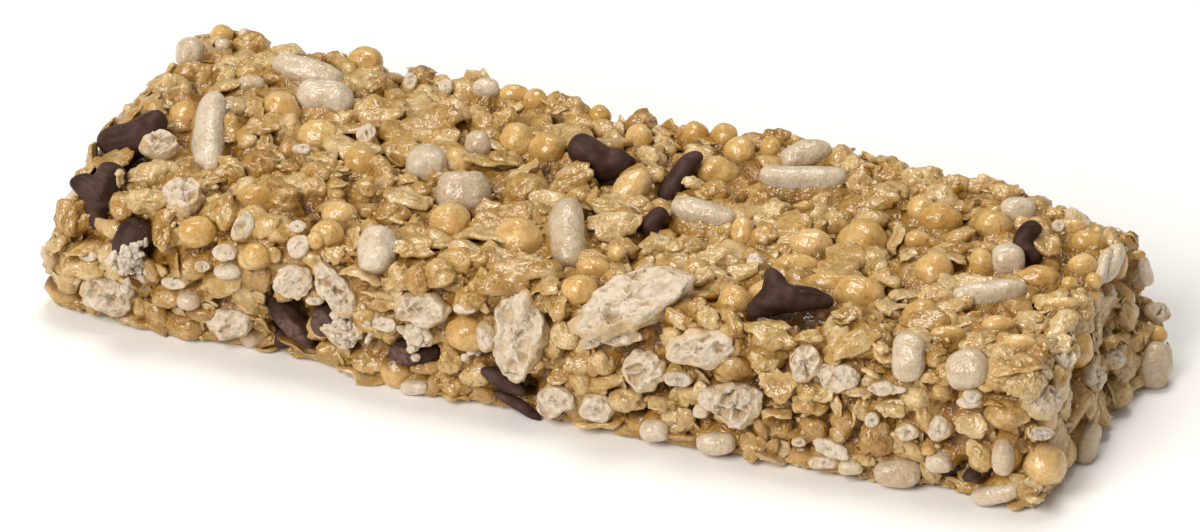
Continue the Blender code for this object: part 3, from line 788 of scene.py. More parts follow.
def crumb_patches():
    """White crumbs heaped on the front's chips, each patch a round scatter towards the
    camera from where it shows, lifted over the chips that it would sink into."""
    places = []
    for x, z, spread, count in CRUMB_PATCHES:
        middle = np.array((x, READING["front"], z)) * MM
        off = rng.normal(0, 0.5 * spread * MM, (count, 2))
        lift = rng.uniform(*CRUMB_HEAP, (count, 1)) * MM
        places.append(middle + off[:, :1] * RIGHT + off[:, 1:] * UP + lift * BACK)
    places = np.concatenate(places)
    over = chip_fronts(places) - places @ BACK
    places = places + np.maximum(over, 0.0)[:, None] * BACK
    n = len(places)
    half = rng.uniform(*CRUMB_HALF, (n, 3)) * MM
    ways = np.broadcast_to(BACK, (n, 3))
    axes = own_axes(ways, rng.uniform(0, 6.3, n), rng.uniform(0, 1, n), rng.uniform(0, 6.3, n))
    return Grains(places, axes, half, places, ways)


def at_own_place(grains, local):
    """Carry points in the grains' own axes to their places in the bar."""
    return grains.centre[:, None, :] + np.einsum("nvk,nkd->nvd", local, grains.axes)


def rest_on_belt(points):
    """Lift each grain until half of it lies over the bar's underside, then press flat what
    still reaches under, each grain at its own hair's breadth and the deeper the closer."""
    z = points[..., 2]
    floor = rng.uniform(0.0, 0.12 * MM, (len(points), 1))
    half_way = 0.5 * (z.min(axis=1, keepdims=True) + z.max(axis=1, keepdims=True))
    z = z + np.maximum(floor - half_way, 0.0)
    pressed = PRESSED * np.exp(np.minimum(z - floor - PRESSED, 0.0) / (0.3 * MM))
    points[..., 2] = np.where(z < floor + PRESSED, floor + pressed, z)
    return points


# ---------------------------------------------------------------- shapes of the grains


def golden_crisps(grains, rows=14, around=22):
    """Small balls: a ball stretched a little, with broad dents, a few dimples and a crinkled
    skin."""
    ways, quads, tris = globe(rows, around)
    local = ways[None] * grains.half[:, None, :]
    there = at_own_place(grains, local)
    swell = 1 + 0.10 * lumps(there, 2.1 * MM, 11) + 0.08 * lumps(there, 0.85 * MM, 12)
    dimple = pebbles(there, 2.4 * MM, 14)[0]
    swell -= 0.10 * np.clip(1 - (dimple / 0.34) ** 2, 0, 1)
    return rest_on_belt(at_own_place(grains, local * swell[..., None])), quads, tris


def oat_clusters(grains, rows=18, around=28):
    """Knots of fine oats in syrup: an uneven ball covered in tilted flakes and pebbles, each
    pebble a small dome."""
    ways, quads, tris = globe(rows, around)
    local = ways[None] * grains.half[:, None, :]
    there = at_own_place(grains, local)
    tilt = tilted_cells(there, 1.25 * MM, 61)[0]
    fine, size = pebbles(there, 0.62 * MM, 67)[:2]
    swell = 1 + 0.16 * lumps(there, 1.9 * MM, 65)
    lift = 0.34 * MM * tilt + 0.14 * MM * (1 - fine ** 2) + 0.2 * MM * (size - 0.5)
    local = local * swell[..., None] + ways[None] * lift[..., None]
    return rest_on_belt(at_own_place(grains, local)), quads, tris


def pale_crisps(grains, rows=22, around=20):
    """Puffed rice: a blunt rod whose ends follow |cos| to the power 0.8 and whose sides
    follow |sin| to the power 0.75, bent, ridged along, with a puffed, uneven skin."""
    ways, quads, tris = globe(rows, around)
    across = np.linalg.norm(ways[:, :2], axis=1)
    angle = np.arctan2(ways[:, 1], ways[:, 0])
    along = np.sign(ways[:, 2]) * np.abs(ways[:, 2]) ** 0.8
    ridge = 1 + 0.03 * np.cos(4 * angle[None] + rng.uniform(0, 6, (grains.count, 1)))
    thick = (across ** 0.75)[None] * ridge
    half = grains.half[:, None, :]
    local = np.stack((along[None] + 0 * thick, thick * np.sin(angle), thick * np.cos(angle)),
                     axis=-1) * half
    bow = rng.uniform(-0.10, 0.10, (grains.count, 1)) * half[..., 0]
    local[..., 1] += bow * (along ** 2)[None]
    there = at_own_place(grains, local)
    swell = 1 + 0.12 * lumps(there, 1.9 * MM, 21) + 0.08 * lumps(there, 0.8 * MM, 22)
    local[..., 1:] *= swell[..., None]
    return rest_on_belt(at_own_place(grains, local)), quads, tris


def oat_lumps(grains, rows=6, around=10):
    """Crushed oats stuck together: a ball of few faces pulled into a ragged lump by tilted
    cells."""
    ways, quads, tris = globe(rows, around)
    local = ways[None] * grains.half[:, None, :]
    there = at_own_place(grains, local)
    tilt = tilted_cells(there, 1.4 * MM, 91)[0]
    swell = 1 + 0.22 * lumps(there, 1.2 * MM, 95) + 0.10 * rng.uniform(-1, 1, local.shape[:2])
    lift = 0.34 * MM * tilt
    local = local * swell[..., None] + ways[None] * lift[..., None]
    return rest_on_belt(at_own_place(grains, local)), quads, tris


def oat_flakes(grains, rows, around):
    """Rolled oats: a flattened ball with a ragged outline of a few waves round the rim,
    cupped by the square of the place across, creased along its middle and warped.  Waves
    too fine for the rim's points are left out."""
    ways, quads, tris = globe(rows, around)
    reach = np.linalg.norm(ways[:, :2], axis=1) ** 0.5
    angle = np.arctan2(ways[:, 1], ways[:, 0])
    count = grains.count
    rim = np.ones((count, len(ways)))
    for waves, depth in ((2, 0.07), (3, 0.10), (5, 0.08), (8, 0.06), (12, 0.04)):
        start = rng.uniform(0, 2 * math.pi, (count, 1))
        if 2 * waves < around:
            wave = np.cos(waves * angle[None] + start)
            rim += depth * rng.uniform(0.3, 1.3, (count, 1)) * np.sign(wave) * np.abs(wave) ** 0.6
    half = grains.half[:, None, :]
    x = reach * np.cos(angle) * rim * half[..., 0]
    y = reach * np.sin(angle) * rim * half[..., 1]
    z = np.sign(ways[:, 2]) * np.abs(ways[:, 2]) ** 0.7 * half[..., 2]
    cup = rng.uniform(-0.10, 0.50, (count, 1)) / half[..., 1]
    z = z - cup * y * y - rng.uniform(-0.1, 0.3, (count, 1)) / half[..., 0] * x * x
    z = z - 0.12 * MM * np.exp(-((y / (0.25 * MM)) ** 2)) * (ways[:, 2] > 0)
    local = np.stack((x, y, z), axis=-1)
    there = at_own_place(grains, local)
    local[..., 2] += 0.36 * MM * lumps(there, 1.3 * MM, 31)
    local[..., 2] += 0.16 * MM * lumps(there, 0.5 * MM, 32)
    return rest_on_belt(at_own_place(grains, local)), quads, tris


def broken_bits(grains, rows, around, pull):
    """Broken oats and crumbs: a ball pulled about into an angular lump."""
    ways, quads, tris = globe(rows, around)
    local = ways[None] * grains.half[:, None, :]
    there = at_own_place(grains, local)
    swell = 1 + pull * lumps(there, 0.9 * MM, 41)
    swell += 0.5 * pull * rng.uniform(-1, 1, local.shape[:2])
    return rest_on_belt(at_own_place(grains, local * swell[..., None])), quads, tris


def torn_puffs(grains, rows, around):
    """Puffed grain torn open: an uneven ball cut off ragged on its upper side, where a foam
    of pits of two sizes is sunk between thin walls: in each cell the surface drops by the
    cell's own depth, times how far it is from the wall.  The last two results are how torn
    and how deep in a pit each point is."""
    ways, quads, tris = globe(rows, around, 1.3)
    local = ways[None] * np.ones((grains.count, 1, 1))
    there = at_own_place(grains, local * grains.half[:, None, :])
    swell = 1.04 + 0.22 * lumps(there, 1.5 * MM, 52) + 0.16 * lumps(there, 0.6 * MM, 53)
    local *= swell[..., None]
    cut = rng.uniform(0.35, 0.6, (grains.count, 1)) + 0.40 * lumps(there, 1.4 * MM, 51)
    torn = np.clip((local[..., 2] - cut) / 0.25 + 0.5, 0, 1)
    local[..., 2] = np.minimum(local[..., 2], cut + 0.2 * (local[..., 2] - cut))
    local = local * grains.half[:, None, :]
    there = at_own_place(grains, local)
    warped = there + 0.35 * MM * lumps(there, 0.8 * MM, 50)[..., None]
    near, value, _, second = pebbles(warped, 1.2 * MM, 54)
    fine_near, fine_value, _, fine_second = pebbles(warped, 0.5 * MM, 58)
    deep = np.minimum(1.1 * MM, 0.7 * grains.half.min(axis=1))[:, None]
    pit = value ** 1.5 * np.clip((second - near) / 0.4, 0, 1)
    pit = pit + 0.5 * fine_value * np.clip((fine_second - fine_near) / 0.4, 0, 1)
    local[..., 2] += torn * (0.45 - pit) * deep
    local += 0.04 * MM * torn[..., None] * rng.uniform(-1, 1, local.shape)
    return rest_on_belt(at_own_place(grains, local)), quads, tris, torn, np.clip(pit, 0, 1) * torn


# ---------------------------------------------------------------- chocolate chips


def drop_profile(rows):
    """Radius and height from the tip to the middle of the base, as shares of the chip's own:
    the corner points joined, then evened over their neighbours."""
    corner = np.array(CHIP_PROFILE)
    length = np.concatenate(((0,), np.cumsum(np.hypot(*np.diff(corner, axis=0).T))))
    fine = np.linspace(0, length[-1], 8 * rows)
    line = np.stack((np.interp(fine, length, corner[:, 0]), np.interp(fine, length, corner[:, 1])))
    wide = np.pad(line, ((0, 0), (10, 10)), mode="edge")
    even = np.stack([np.convolve(side, np.ones(21) / 21, mode="valid") for side in wide])
    pick = np.linspace(0, even.shape[1] - 1, rows + 2).round().astype(int)[1:-1]
    return even[0, pick], even[1, pick]


def chip_middle(row):
    """The middle of a chip, and the way its tip points."""
    heading, rising = math.radians(row[3]), math.radians(row[4])
    tip = np.array((math.cos(heading) * math.cos(rising), math.sin(heading) * math.cos(rising),
                    math.sin(rising)))
    return (np.array(row[:3]) + 0.45 * row[6] * tip) * MM, tip


def chip_balls(number, row):
    """The balls a chip is shaped by, as middles and radii: its own list, or three of
    shrinking size along its axis."""
    middle, tip = chip_middle(row)
    if number in CHIP_BALLS:
        right, up, back, radius = np.array(CHIP_BALLS[number]).T * MM
        back = back + (CHIP_LIFT * MM if row[8] is None else 0.0)
        places = middle + np.outer(right, RIGHT) + np.outer(up, UP) + np.outer(back, BACK)
        return places, radius
    along = np.array((-0.30, 0.0, 0.35)) * row[6] * MM
    return middle + np.outer(along, tip), np.array((0.85, 0.62, 0.3)) * row[5] * MM


def across_chip(places, k):
    """How far these places are, seen by the camera, from the middle of one chip ball."""
    away = places - chip_middles[k]
    return np.hypot(away @ RIGHT, away @ UP)


def chip_fronts(places):
    """How far towards the camera the chips reach at each place, or a metre behind the bar
    where there is no chip."""
    front = np.full(len(places), -1.0)
    for k, radius in enumerate(chip_radii):
        bulge = radius ** 2 - across_chip(places, k) ** 2
        reach = chip_middles[k] @ BACK + np.sqrt(np.maximum(bulge, 0.0))
        front = np.where(bulge > 0, np.maximum(front, reach), front)
    return front


def nearness_to_chips():
    """How far each point of the skin is from the nearest chip ball's middle, in shares of
    that ball's radius and its rim."""
    near = np.full(len(skin), 9.0)
    for middle, radius in zip(chip_middles, chip_radii):
        away = np.linalg.norm(skin - middle, axis=1)
        near = np.minimum(near, away / (radius + CHIP_RIM))
    return near


def moulded_chip(number, row, rows=36, around=48):
    """A chip softly cast round its balls: along each direction d from the middle the surface
    lies at the soft greatest of d.c + sqrt((d.c)^2 - |c|^2 + r^2) over balls that step from
    each ball c of radius r to the next, less what the blend adds."""
    balls, radii = chip_balls(number, row)
    share = np.linspace(0, 1, 6, endpoint=False)[:, None, None]
    line = (balls[:-1] * (1 - share) + balls[1:] * share).reshape(-1, 3)
    sizes = (radii[:-1] * (1 - share[..., 0]) + radii[1:] * share[..., 0]).reshape(-1)
    line = np.concatenate((line, balls[-1:]))
    sizes = np.concatenate((sizes, radii[-1:]))
    middle = np.average(line, axis=0, weights=sizes ** 2)
    ways, quads, tris = globe(rows, around)
    towards = ways @ (line - middle).T
    inside = towards ** 2 - ((line - middle) ** 2).sum(axis=1) + sizes ** 2
    reach = np.where(inside > 0, towards + np.sqrt(np.maximum(inside, 0)), 0)
    blend = 0.10 * MM
    radius = blend * np.log(np.exp(reach / blend).sum(axis=1)) - 1.5 * blend
    return middle + ways * radius[:, None], quads, tris


def dropped_chip(number, row, rows=26, around=36):
    """A whole chip: a turned drop, flattened, its tip bent to one side by the square of the
    height, laid as its row says."""
    radius, length, flatness = row[5:8]
    ways, quads, tris = globe(rows, around)
    share, height = drop_profile(rows)
    share = np.concatenate(((0,), np.repeat(share, around), (0,)))
    height = np.concatenate(((1,), np.repeat(height, around), (0,)))
    angle = np.arctan2(ways[:, 1], ways[:, 0])
    local = np.stack((share * np.cos(angle) * radius, share * np.sin(angle) * radius * flatness,
                      height * length), axis=1) * MM
    bend = np.random.default_rng(900 + number).uniform(-0.9, 0.9, 2) * MM
    local[:, :2] += bend * (height ** 2)[:, None] * np.minimum(length / 5, 1)
    turn = np.array(Vector(chip_middle(row)[1]).to_track_quat("Z", "Y").to_matrix())
    return local @ turn.T + np.array(row[:3]) * MM, quads, tris


def chocolate_chip(number, row):
    """A chip's surface with soft dents, cut off ragged at its slice if it has one, and a
    mark of 1 on the sliced face."""
    shape = moulded_chip if number in CHIP_BALLS else dropped_chip
    there, quads, tris = shape(number, row)
    out = unit(there - there.mean(axis=0))
    wave = 0.20 * MM * lumps(there, 2.0 * MM, 81) + 0.09 * MM * lumps(there, 0.7 * MM, 82)
    there = there + out * wave[:, None]
    sliced = np.zeros(len(there))
    if row[8] is not None:
        plane = row[8] * MM + 0.10 * MM * lumps(there, 0.7 * MM, 83)
        sliced = np.clip((plane - there[:, 1]) / (0.3 * MM) + 0.3, 0, 1)
        there[:, 1] = np.maximum(there[:, 1], plane)
    there[:, 2] = np.maximum(there[:, 2], 0.05 * MM)
    return there, quads, tris, sliced


# ---------------------------------------------------------------- materials


# How far light goes in, and how much further its red and green do; how strongly syrup and
# grain bend it; and how dull a grain is under its syrup
LIGHT_REACH = 0.5 * MM
LIGHT_SPREAD = (1.0, 0.8, 0.5)
SYRUP_BEND = 1.65
GRAIN_BEND = 1.46
GRAIN_SHEEN = 0.1

# Amber where grains lie deep, partly the syrup's own colour pooling there and partly painted shade; and
# near-black painted shade in the deepest hollows
AMBER_POOL_AND_SHADE = (0.32, 0.142, 0.010)
PAINTED_DEEP_SHADE = (0.07, 0.026, 0.002)
FRECKLE = (0.50, 0.34, 0.18)
WHITE = (1, 1, 1)
BLACK = (0, 0, 0)


class Finish:
    """A material's nodes, made one after another."""

    MIX_SHARE, MIX_FIRST, MIX_SECOND, MIX_RESULT = 0, 6, 7, 2

    def __init__(self, name):
        self.material = bpy.data.materials.new(name)
        self.material.use_nodes = True
        self.tree = self.material.node_tree
        self.shader = self.tree.nodes["Principled BSDF"]
        self.place = self.add("ShaderNodeTexCoord").outputs["Object"]

    def add(self, kind, **settings):
        """A new node with these settings."""
        node = self.tree.nodes.new(kind)
        for key, value in settings.items():
            setattr(node, key, value)
        return node

    def join(self, source, target):
        """Lead one socket's value into another."""
        self.tree.links.new(source, target)

    def noise(self, size, detail=3.0, rough=0.55):
        """Cloudy noise whose lumps are about this size, in metres."""
        node = self.add("ShaderNodeTexNoise")
        self.join(self.place, node.inputs["Vector"])
        node.inputs["Scale"].default_value = 1.0 / size
        node.inputs["Detail"].default_value = detail
        node.inputs["Roughness"].default_value = rough
        return node.outputs["Fac"]

    def pores(self, size):
        """Round cells of this size: distance from each cell's middle."""
        node = self.add("ShaderNodeTexVoronoi")
        self.join(self.place, node.inputs["Vector"])
        node.inputs["Scale"].default_value = 1.0 / size
        return node.outputs["Distance"]

    def mark(self, name):
        """A number kept on the piece's points."""
        return self.add("ShaderNodeAttribute", attribute_name=name).outputs["Fac"]

    def ramp(self, source, *stops):
        """Colours by value: each stop is a place from 0 to 1 and a colour."""
        node = self.add("ShaderNodeValToRGB")
        while len(node.color_ramp.elements) < len(stops):
            node.color_ramp.elements.new(0.5)
        for element, (place, colour) in zip(node.color_ramp.elements, stops):
            element.position = place
            element.color = (*colour, 1.0)
        self.join(source, node.inputs["Fac"])
        return node.outputs["Color"]

    def mix(self, share, first, second, blend="MIX"):
        """Blend two colours by a share, which may be a number or a value."""
        node = self.add("ShaderNodeMix", data_type="RGBA", blend_type=blend)
        wanted = {self.MIX_SHARE: share, self.MIX_FIRST: first, self.MIX_SECOND: second}
        for slot, value in wanted.items():
            if isinstance(value, bpy.types.NodeSocket):
                self.join(value, node.inputs[slot])
            elif slot == self.MIX_SHARE:
                node.inputs[slot].default_value = value
            else:
                node.inputs[slot].default_value = (*value, 1.0)
        return node.outputs[self.MIX_RESULT]

    def span(self, source, low, high, new_low, new_high):
        """Carry a value from one range to another."""
        node = self.add("ShaderNodeMapRange")
        self.join(source, node.inputs["Value"])
        node.inputs["From Min"].default_value = low
        node.inputs["From Max"].default_value = high
        node.inputs["To Min"].default_value = new_low
        node.inputs["To Max"].default_value = new_high
        return node.outputs["Result"]

    def bump(self, source, height, under=None):
        """Raise the surface by a value times a height, in metres, over an earlier bump."""
        node = self.add("ShaderNodeBump")
        node.inputs["Distance"].default_value = height
        self.join(source, node.inputs["Height"])
        if under is not None:
            self.join(under, node.inputs["Normal"])
        return node.outputs["Normal"]

    def done(self, colour, rough, normal, soft=0.0, coat=0.0, gloss=0.2):
        """Feed the shader: colour, roughness, bumps, light let in, and a coat of syrup with
        its own roughness."""
        inputs = self.shader.inputs
        self.join(colour, inputs["Base Color"])
        self.join(rough, inputs["Roughness"])
        self.join(normal, inputs["Normal"])
        self.join(normal, inputs["Coat Normal"])
        inputs["Subsurface Weight"].default_value = soft
        inputs["Subsurface Radius"].default_value = LIGHT_SPREAD
        inputs["Subsurface Scale"].default_value = LIGHT_REACH
        inputs["Coat Weight"].default_value = coat
        inputs["Coat Roughness"].default_value = gloss
        inputs["Coat IOR"].default_value = SYRUP_BEND
        inputs["IOR"].default_value = GRAIN_BEND
        inputs["Specular IOR Level"].default_value = GRAIN_SHEEN
        return self.material


def toasted_finish(name, pale, mid, dark, soft, coat, grain, gloss, pool_and_shade_share=0.85,
                   freckled=0.6):
    """Toasted grain under syrup: its own tone, cloudy browning, freckles, amber where it lies
    deep, partly syrup pooling and partly painted shade, near-black painted shade deepest down,
    fine crinkles that catch the light, and a skin whose roughness comes and goes."""
    look = Finish(name)
    own = look.ramp(look.mark("tone"), (0.0, dark), (0.5, mid), (1.0, pale))
    cloudy = look.ramp(look.noise(1.3 * MM), (0.34, dark), (0.50, mid), (0.66, pale))
    colour = look.mix(0.5, own, cloudy)
    freckles = look.ramp(look.noise(0.3 * MM, rough=0.7), (0.32, FRECKLE), (0.50, WHITE))
    colour = look.mix(freckled, colour, freckles, "MULTIPLY")
    # Painted shade: deeper points turn amber, partly pooled syrup, and then near black
    syrup_pool_and_shade = look.span(look.mark("deep"), 0.2, 0.8, 0.0, pool_and_shade_share)
    colour = look.mix(syrup_pool_and_shade, colour, AMBER_POOL_AND_SHADE)
    deep_shade_share = look.span(look.mark("deep"), 0.6, 1.0, 0.0, 0.9)
    colour = look.mix(deep_shade_share, colour, PAINTED_DEEP_SHADE)
    shine = look.span(look.noise(0.8 * MM, 2.0), 0.35, 0.65, 0.45, 0.7)
    normal = look.bump(look.noise(0.8 * MM, 2.0, 0.5), 1.6 * grain * MM)
    normal = look.bump(look.noise(0.25 * MM, 1.0, 0.5), 0.4 * grain * MM, normal)
    return look.done(colour, shine, normal, soft, coat, gloss)


def torn_finish():
    """Puffed starch, torn: white and dry on the tear, with painted shade in its pits, creamy
    and a little glossy on the skin, and amber where it lies deep, partly syrup and partly painted shade."""
    look = Finish("torn puff")
    skin_tone = look.ramp(look.noise(1.2 * MM), (0.3, (0.51, 0.35, 0.16)),
                          (0.6, (0.63, 0.50, 0.33)))
    white = look.ramp(look.noise(0.6 * MM), (0.35, (0.56, 0.455, 0.335)),
                      (0.6, (0.70, 0.60, 0.48)))
    torn = look.mark("torn")
    colour = look.mix(torn, skin_tone, white)
    # Painted shade: the pits are coloured darker brown
    pit = look.span(look.mark("pit"), 0.15, 1.0, 0.0, 0.75)
    colour = look.mix(pit, colour, (0.52, 0.37, 0.19))
    # Amber by depth: partly pooled syrup, partly painted shade
    syrup_pool_and_shade = look.span(look.mark("deep"), 0.3, 1.0, 0.0, 0.8)
    colour = look.mix(syrup_pool_and_shade, colour, AMBER_POOL_AND_SHADE)
    shine = look.span(torn, 0.0, 1.0, 0.35, 0.75)
    normal = look.bump(look.pores(0.34 * MM), 0.09 * MM)
    normal = look.bump(look.noise(0.14 * MM, 2.0), 0.03 * MM, normal)
    return look.done(colour, shine, normal, soft=0.35, coat=0.2, gloss=0.25)


def chocolate_finish():
    """Dark chocolate, satin, with a faint grey bloom in clouds, pale scuffs, and a lighter,
    crumbly look on sliced faces."""
    look = Finish("dark chocolate")
    bloom = look.ramp(look.noise(1.8 * MM, 4.0), (0.35, (0.036, 0.018, 0.012)),
                      (0.70, (0.085, 0.048, 0.038)))
    scuff = look.ramp(look.noise(0.30 * MM, rough=0.7), (0.66, BLACK), (0.74, WHITE))
    colour = look.mix(scuff, bloom, (0.17, 0.11, 0.085))
    cut_face = look.ramp(look.noise(0.5 * MM, rough=0.7), (0.40, (0.085, 0.043, 0.033)),
                         (0.62, (0.19, 0.115, 0.095)))
    sliced = look.span(look.mark("sliced"), 0.0, 1.0, 0.0, 0.75)
    colour = look.mix(sliced, colour, cut_face)
    shine = look.span(look.noise(0.9 * MM, 2.0), 0.3, 0.7, 0.30, 0.48)
    normal = look.bump(look.noise(0.7 * MM), 0.10 * MM)
    normal = look.bump(look.noise(0.16 * MM, 2.0), 0.02 * MM, normal)
    return look.done(colour, shine, normal)


def floor_finish():
    """Plain matt white with the faintest mottle."""
    look = Finish("pale floor")
    colour = look.ramp(look.noise(0.05, 2.0), (0.3, (0.93, 0.93, 0.93)),
                       (0.7, (0.95, 0.95, 0.95)))
    look.join(colour, look.shader.inputs["Base Color"])
    look.shader.inputs["Roughness"].default_value = 0.9
    look.shader.inputs["Specular IOR Level"].default_value = GRAIN_SHEEN
    return look.material


# ---------------------------------------------------------------- camera, light and floor


def camera():
    """A long lens from the front right, looking a little down at the bar."""
    eye = bpy.data.objects.new("camera", bpy.data.cameras.new("camera"))
    bpy.context.scene.collection.objects.link(eye)
    eye.data.lens = LENS
    eye.data.clip_start = 0.01
    eye.location = Vector(TARGET) + Vector(BACK) * DISTANCE
    eye.rotation_euler = Vector(BACK).to_track_quat("Z", "Y").to_euler()
    bpy.context.scene.camera = eye


def soft_light(name, place, size, power):
    """A square soft light at a place, facing the bar."""
    lamp = bpy.data.lights.new(name, "AREA")
    lamp.size = size
    lamp.energy = power
    lamp.color = LAMP_COLOUR
    thing = bpy.data.objects.new(name, lamp)
    bpy.context.scene.collection.objects.link(thing)
    thing.location = place
    thing.rotation_euler = Vector(place).to_track_quat("Z", "Y").to_euler()


def studio():
    """A large soft light high in front and a smaller one above, a pale room and a floor."""
    soft_light("key", KEY_PLACE, KEY_SIZE, KEY_POWER)
    soft_light("above", ABOVE_PLACE, ABOVE_SIZE, ABOVE_POWER)
    world = bpy.data.worlds.new("room")
    bpy.context.scene.world = world
    world.use_nodes = True
    sky = world.node_tree.nodes["Background"].inputs
    sky["Color"].default_value = (*WHITE, 1)
    sky["Strength"].default_value = ROOM_LIGHT
    bpy.context.scene.view_settings.view_transform = "Standard"
    plane = bpy.data.meshes.new("floor")
    corners = ((-1, -1, 0), (1, -1, 0), (1, 1, 0), (-1, 1, 0))
    plane.from_pydata([FLOOR_HALF * Vector(corner) for corner in corners], [], [(0, 1, 2, 3)])
    plane.materials.append(floor_finish())
    ground = bpy.data.objects.new("floor", plane)
    bpy.context.scene.collection.objects.link(ground)


# ---------------------------------------------------------------- putting the bar together


def add_kind(name, made, grains, finish, **marks):
    """Join a kind's grains into one piece, with each grain's tone and how deep it lies."""
    points, quads, tris = made[:3]
    quads, tris = many(quads, tris, grains.count, points.shape[1])
    tone = np.repeat(rng.uniform(0, 1, (grains.count, 1)), points.shape[1], axis=1)
    # How deep each point lies under the skin: the finishes paint shade, and pooled syrup, darker with it
    deep = ((grains.seat[:, None] - points) * grains.normal[:, None]).sum(axis=2) / GRAIN_DEEP
    make_piece(name, points.reshape(-1, 3), quads, tris, finish, "oats_and_crisps",
               tone=tone, deep=np.clip(deep, 0, 1), **marks)


def height_over(grains, k, spread, near):
    """How high over the skin one grain's ellipsoid, made larger by spread, stands at nearby
    points of the skin: the far root of |p + t d| = 1 in the grain's own axes."""
    half = grains.half[k] * (1 + spread)
    p = (skin[near] - grains.centre[k]) @ grains.axes[k].T / half
    d = skin_normal[near] @ grains.axes[k].T / half
    a = (d * d).sum(axis=1)
    b = (p * d).sum(axis=1)
    inside = b * b - a * ((p * p).sum(axis=1) - 1)
    height = (np.sqrt(np.maximum(inside, 0)) - b) / a
    return np.where(inside > 0, height, -1.0)


def syrup_bed():
    """The relief of the syrup's bed, its height over the skin, and its own tone: overlapping
    flakes of oat, each a tilted plane over its own cell, with pebbles of crumb on them, all
    of it flatter and nearer the skin on the underside."""
    under = skin_normal[:, 2] < -0.7
    tilt, value = tilted_cells(skin, 2.3 * MM, 71)
    flake = 0.65 * MM * tilt + 0.7 * MM * (value - 0.5)
    small, size = pebbles(skin, 0.95 * MM, 77)[:2]
    crumb = 0.30 * MM * (1 - small ** 2) + 0.42 * MM * (size - 0.5)
    relief = np.where(under, 0.3, 1.0) * (flake + crumb)
    return relief, relief - np.where(under, SOLE_DEPTH, CORE_DEPTH), value


def climb(grains, drop, share, relief, total, over):
    """Let the syrup climb each of these grains, by adding to its soft total the grain's
    ellipsoid spread wider, let down by its middle half size times drop, and roughened by a
    share of the bed's relief; and keep in over how high the bare grains stand."""
    reach = 1.3 * grains.half.max(axis=1) + 1.5 * MM
    for k in range(grains.count):
        spots = np.flatnonzero(np.abs(skin - grains.centre[k]).max(axis=1) < reach[k])
        raised = height_over(grains, k, SYRUP_SPREAD, spots) - drop * np.sort(grains.half[k])[1]
        raised = np.minimum(raised + share * relief[spots], SYRUP_TOP)
        total[spots] += np.exp(np.maximum(raised, -9 * MM) / SYRUP_BLEND)
        over[spots] = np.maximum(over[spots], height_over(grains, k, 0.0, spots))


def syrup_heights(relief, bed):
    """How high the syrup stands over the skin at each of its points, as the soft greatest of
    its bed and of what climbs each grain; and how high the whole and the crushed grains do."""
    total = np.exp(bed / SYRUP_BLEND)
    cover = np.full(len(skin), -1.0)
    rubble = np.full(len(skin), -1.0)
    for grains, drop in ((golden, GRAIN_DROP), (pale, GRAIN_DROP), (puff, PUFF_DROP),
                         (flake, GRAIN_DROP)):
        climb(grains, drop, 0.4, relief, total, cover)
    for grains in (cluster, lump):
        climb(grains, GRAIN_DROP, 0.7, relief, total, rubble)
    return SYRUP_BLEND * np.log(total), cover, rubble


def clear_of_chips(height):
    """The syrup let down in a shallow well round every chip, and further wherever it would
    come between the camera and a chip on the left end's slope: no nearer than the middle of
    the chip's ball behind it, and down to a limit."""
    height = height - CHIP_WELL * np.clip(1.4 - near_chip, 0, 0.6) / 0.6
    slope = skin_normal @ BACK
    for k in np.flatnonzero(on_slope):
        low = (chip_middles[k] - skin) @ BACK / np.maximum(slope, 0.3)
        low = np.maximum(low, -SLOPE_DROP)
        edge = np.clip((across_chip(skin, k) - chip_radii[k]) / CHIP_RIM, 0, 1)
        eased = np.minimum(height, low + edge * np.maximum(height - low, 0.0))
        height = np.where((slope > 0.1) & (edge < 1), eased, height)
    return height


def loose_on(kind, level, where):
    """Loose grains of one kind lying at this level over some of these points of the skin,
    none of them in front of a chip or a pale crisp."""
    count, low, high, lean, rise = LOOSE[kind]
    chosen = rng.choice(where, 2 * count, replace=False)
    half = rng.uniform(low, high, (len(chosen), 3)) * MM
    places = skin[chosen] + skin_normal[chosen] * level[chosen, None]
    clear = np.flatnonzero(~crowd.hides(places, half[:, 0]))[:count]
    return lying(places[clear], chosen[clear], half[clear], lean, rise)


camera()
studio()
rng = np.random.default_rng(5)
skin, skin_quads, skin_normal = bar_skin()

# The grains that can be told apart, and the chips
golden = as_seen(GOLDEN_CRISPS, "round", rise=0.35)
cluster = as_seen(OAT_CLUSTERS, "round", rise=0.1)
pale = as_seen(PALE_CRISPS, "long", rise=0.6)
puff = as_seen(TORN_PUFFS, "facing", rise=0.05)
flake = as_seen(FACING_FLAKES, "facing", rise=0.4)
edgewise = as_seen(EDGEWISE_FLAKES, "edgewise", rise=0.3)
puff.half[:, 2] = PUFF_THICKNESS * puff.half[:, 1]

chips = [chip_balls(number, row) for number, row in enumerate(CHIPS, start=1)]
chip_middles = np.concatenate([balls for balls, radii in chips])
chip_radii = np.concatenate([radii for balls, radii in chips])
on_slope = np.concatenate([np.full(len(radii), k < CHIPS_ON_SLOPE)
                           for k, (balls, radii) in enumerate(chips)])
near_chip = nearness_to_chips()

# The grains strewn between them
crowd = Crowd()
crowd.take(chip_middles, 0.95 * chip_radii, seen=True)
crowd.take(pale.centre, 0.85 * pale.room(), seen=True)
for grains, closeness in ((golden, 0.85), (puff, 0.85), (cluster, 0.8), (flake, 0.7),
                          (edgewise, 0.5)):
    crowd.take(grains.centre, closeness * grains.room())

hidden = np.flatnonzero(skin_normal @ BACK < -0.1)
anywhere = np.arange(len(skin))
golden = golden.joined(strewn("golden", anywhere))
pale = pale.joined(strewn("pale", hidden))
puff = puff.joined(strewn("puff", hidden))
cluster = cluster.joined(strewn("cluster", anywhere))
flake = flake.joined(edgewise).joined(strewn("flake", anywhere))
lump = strewn("lump", anywhere)

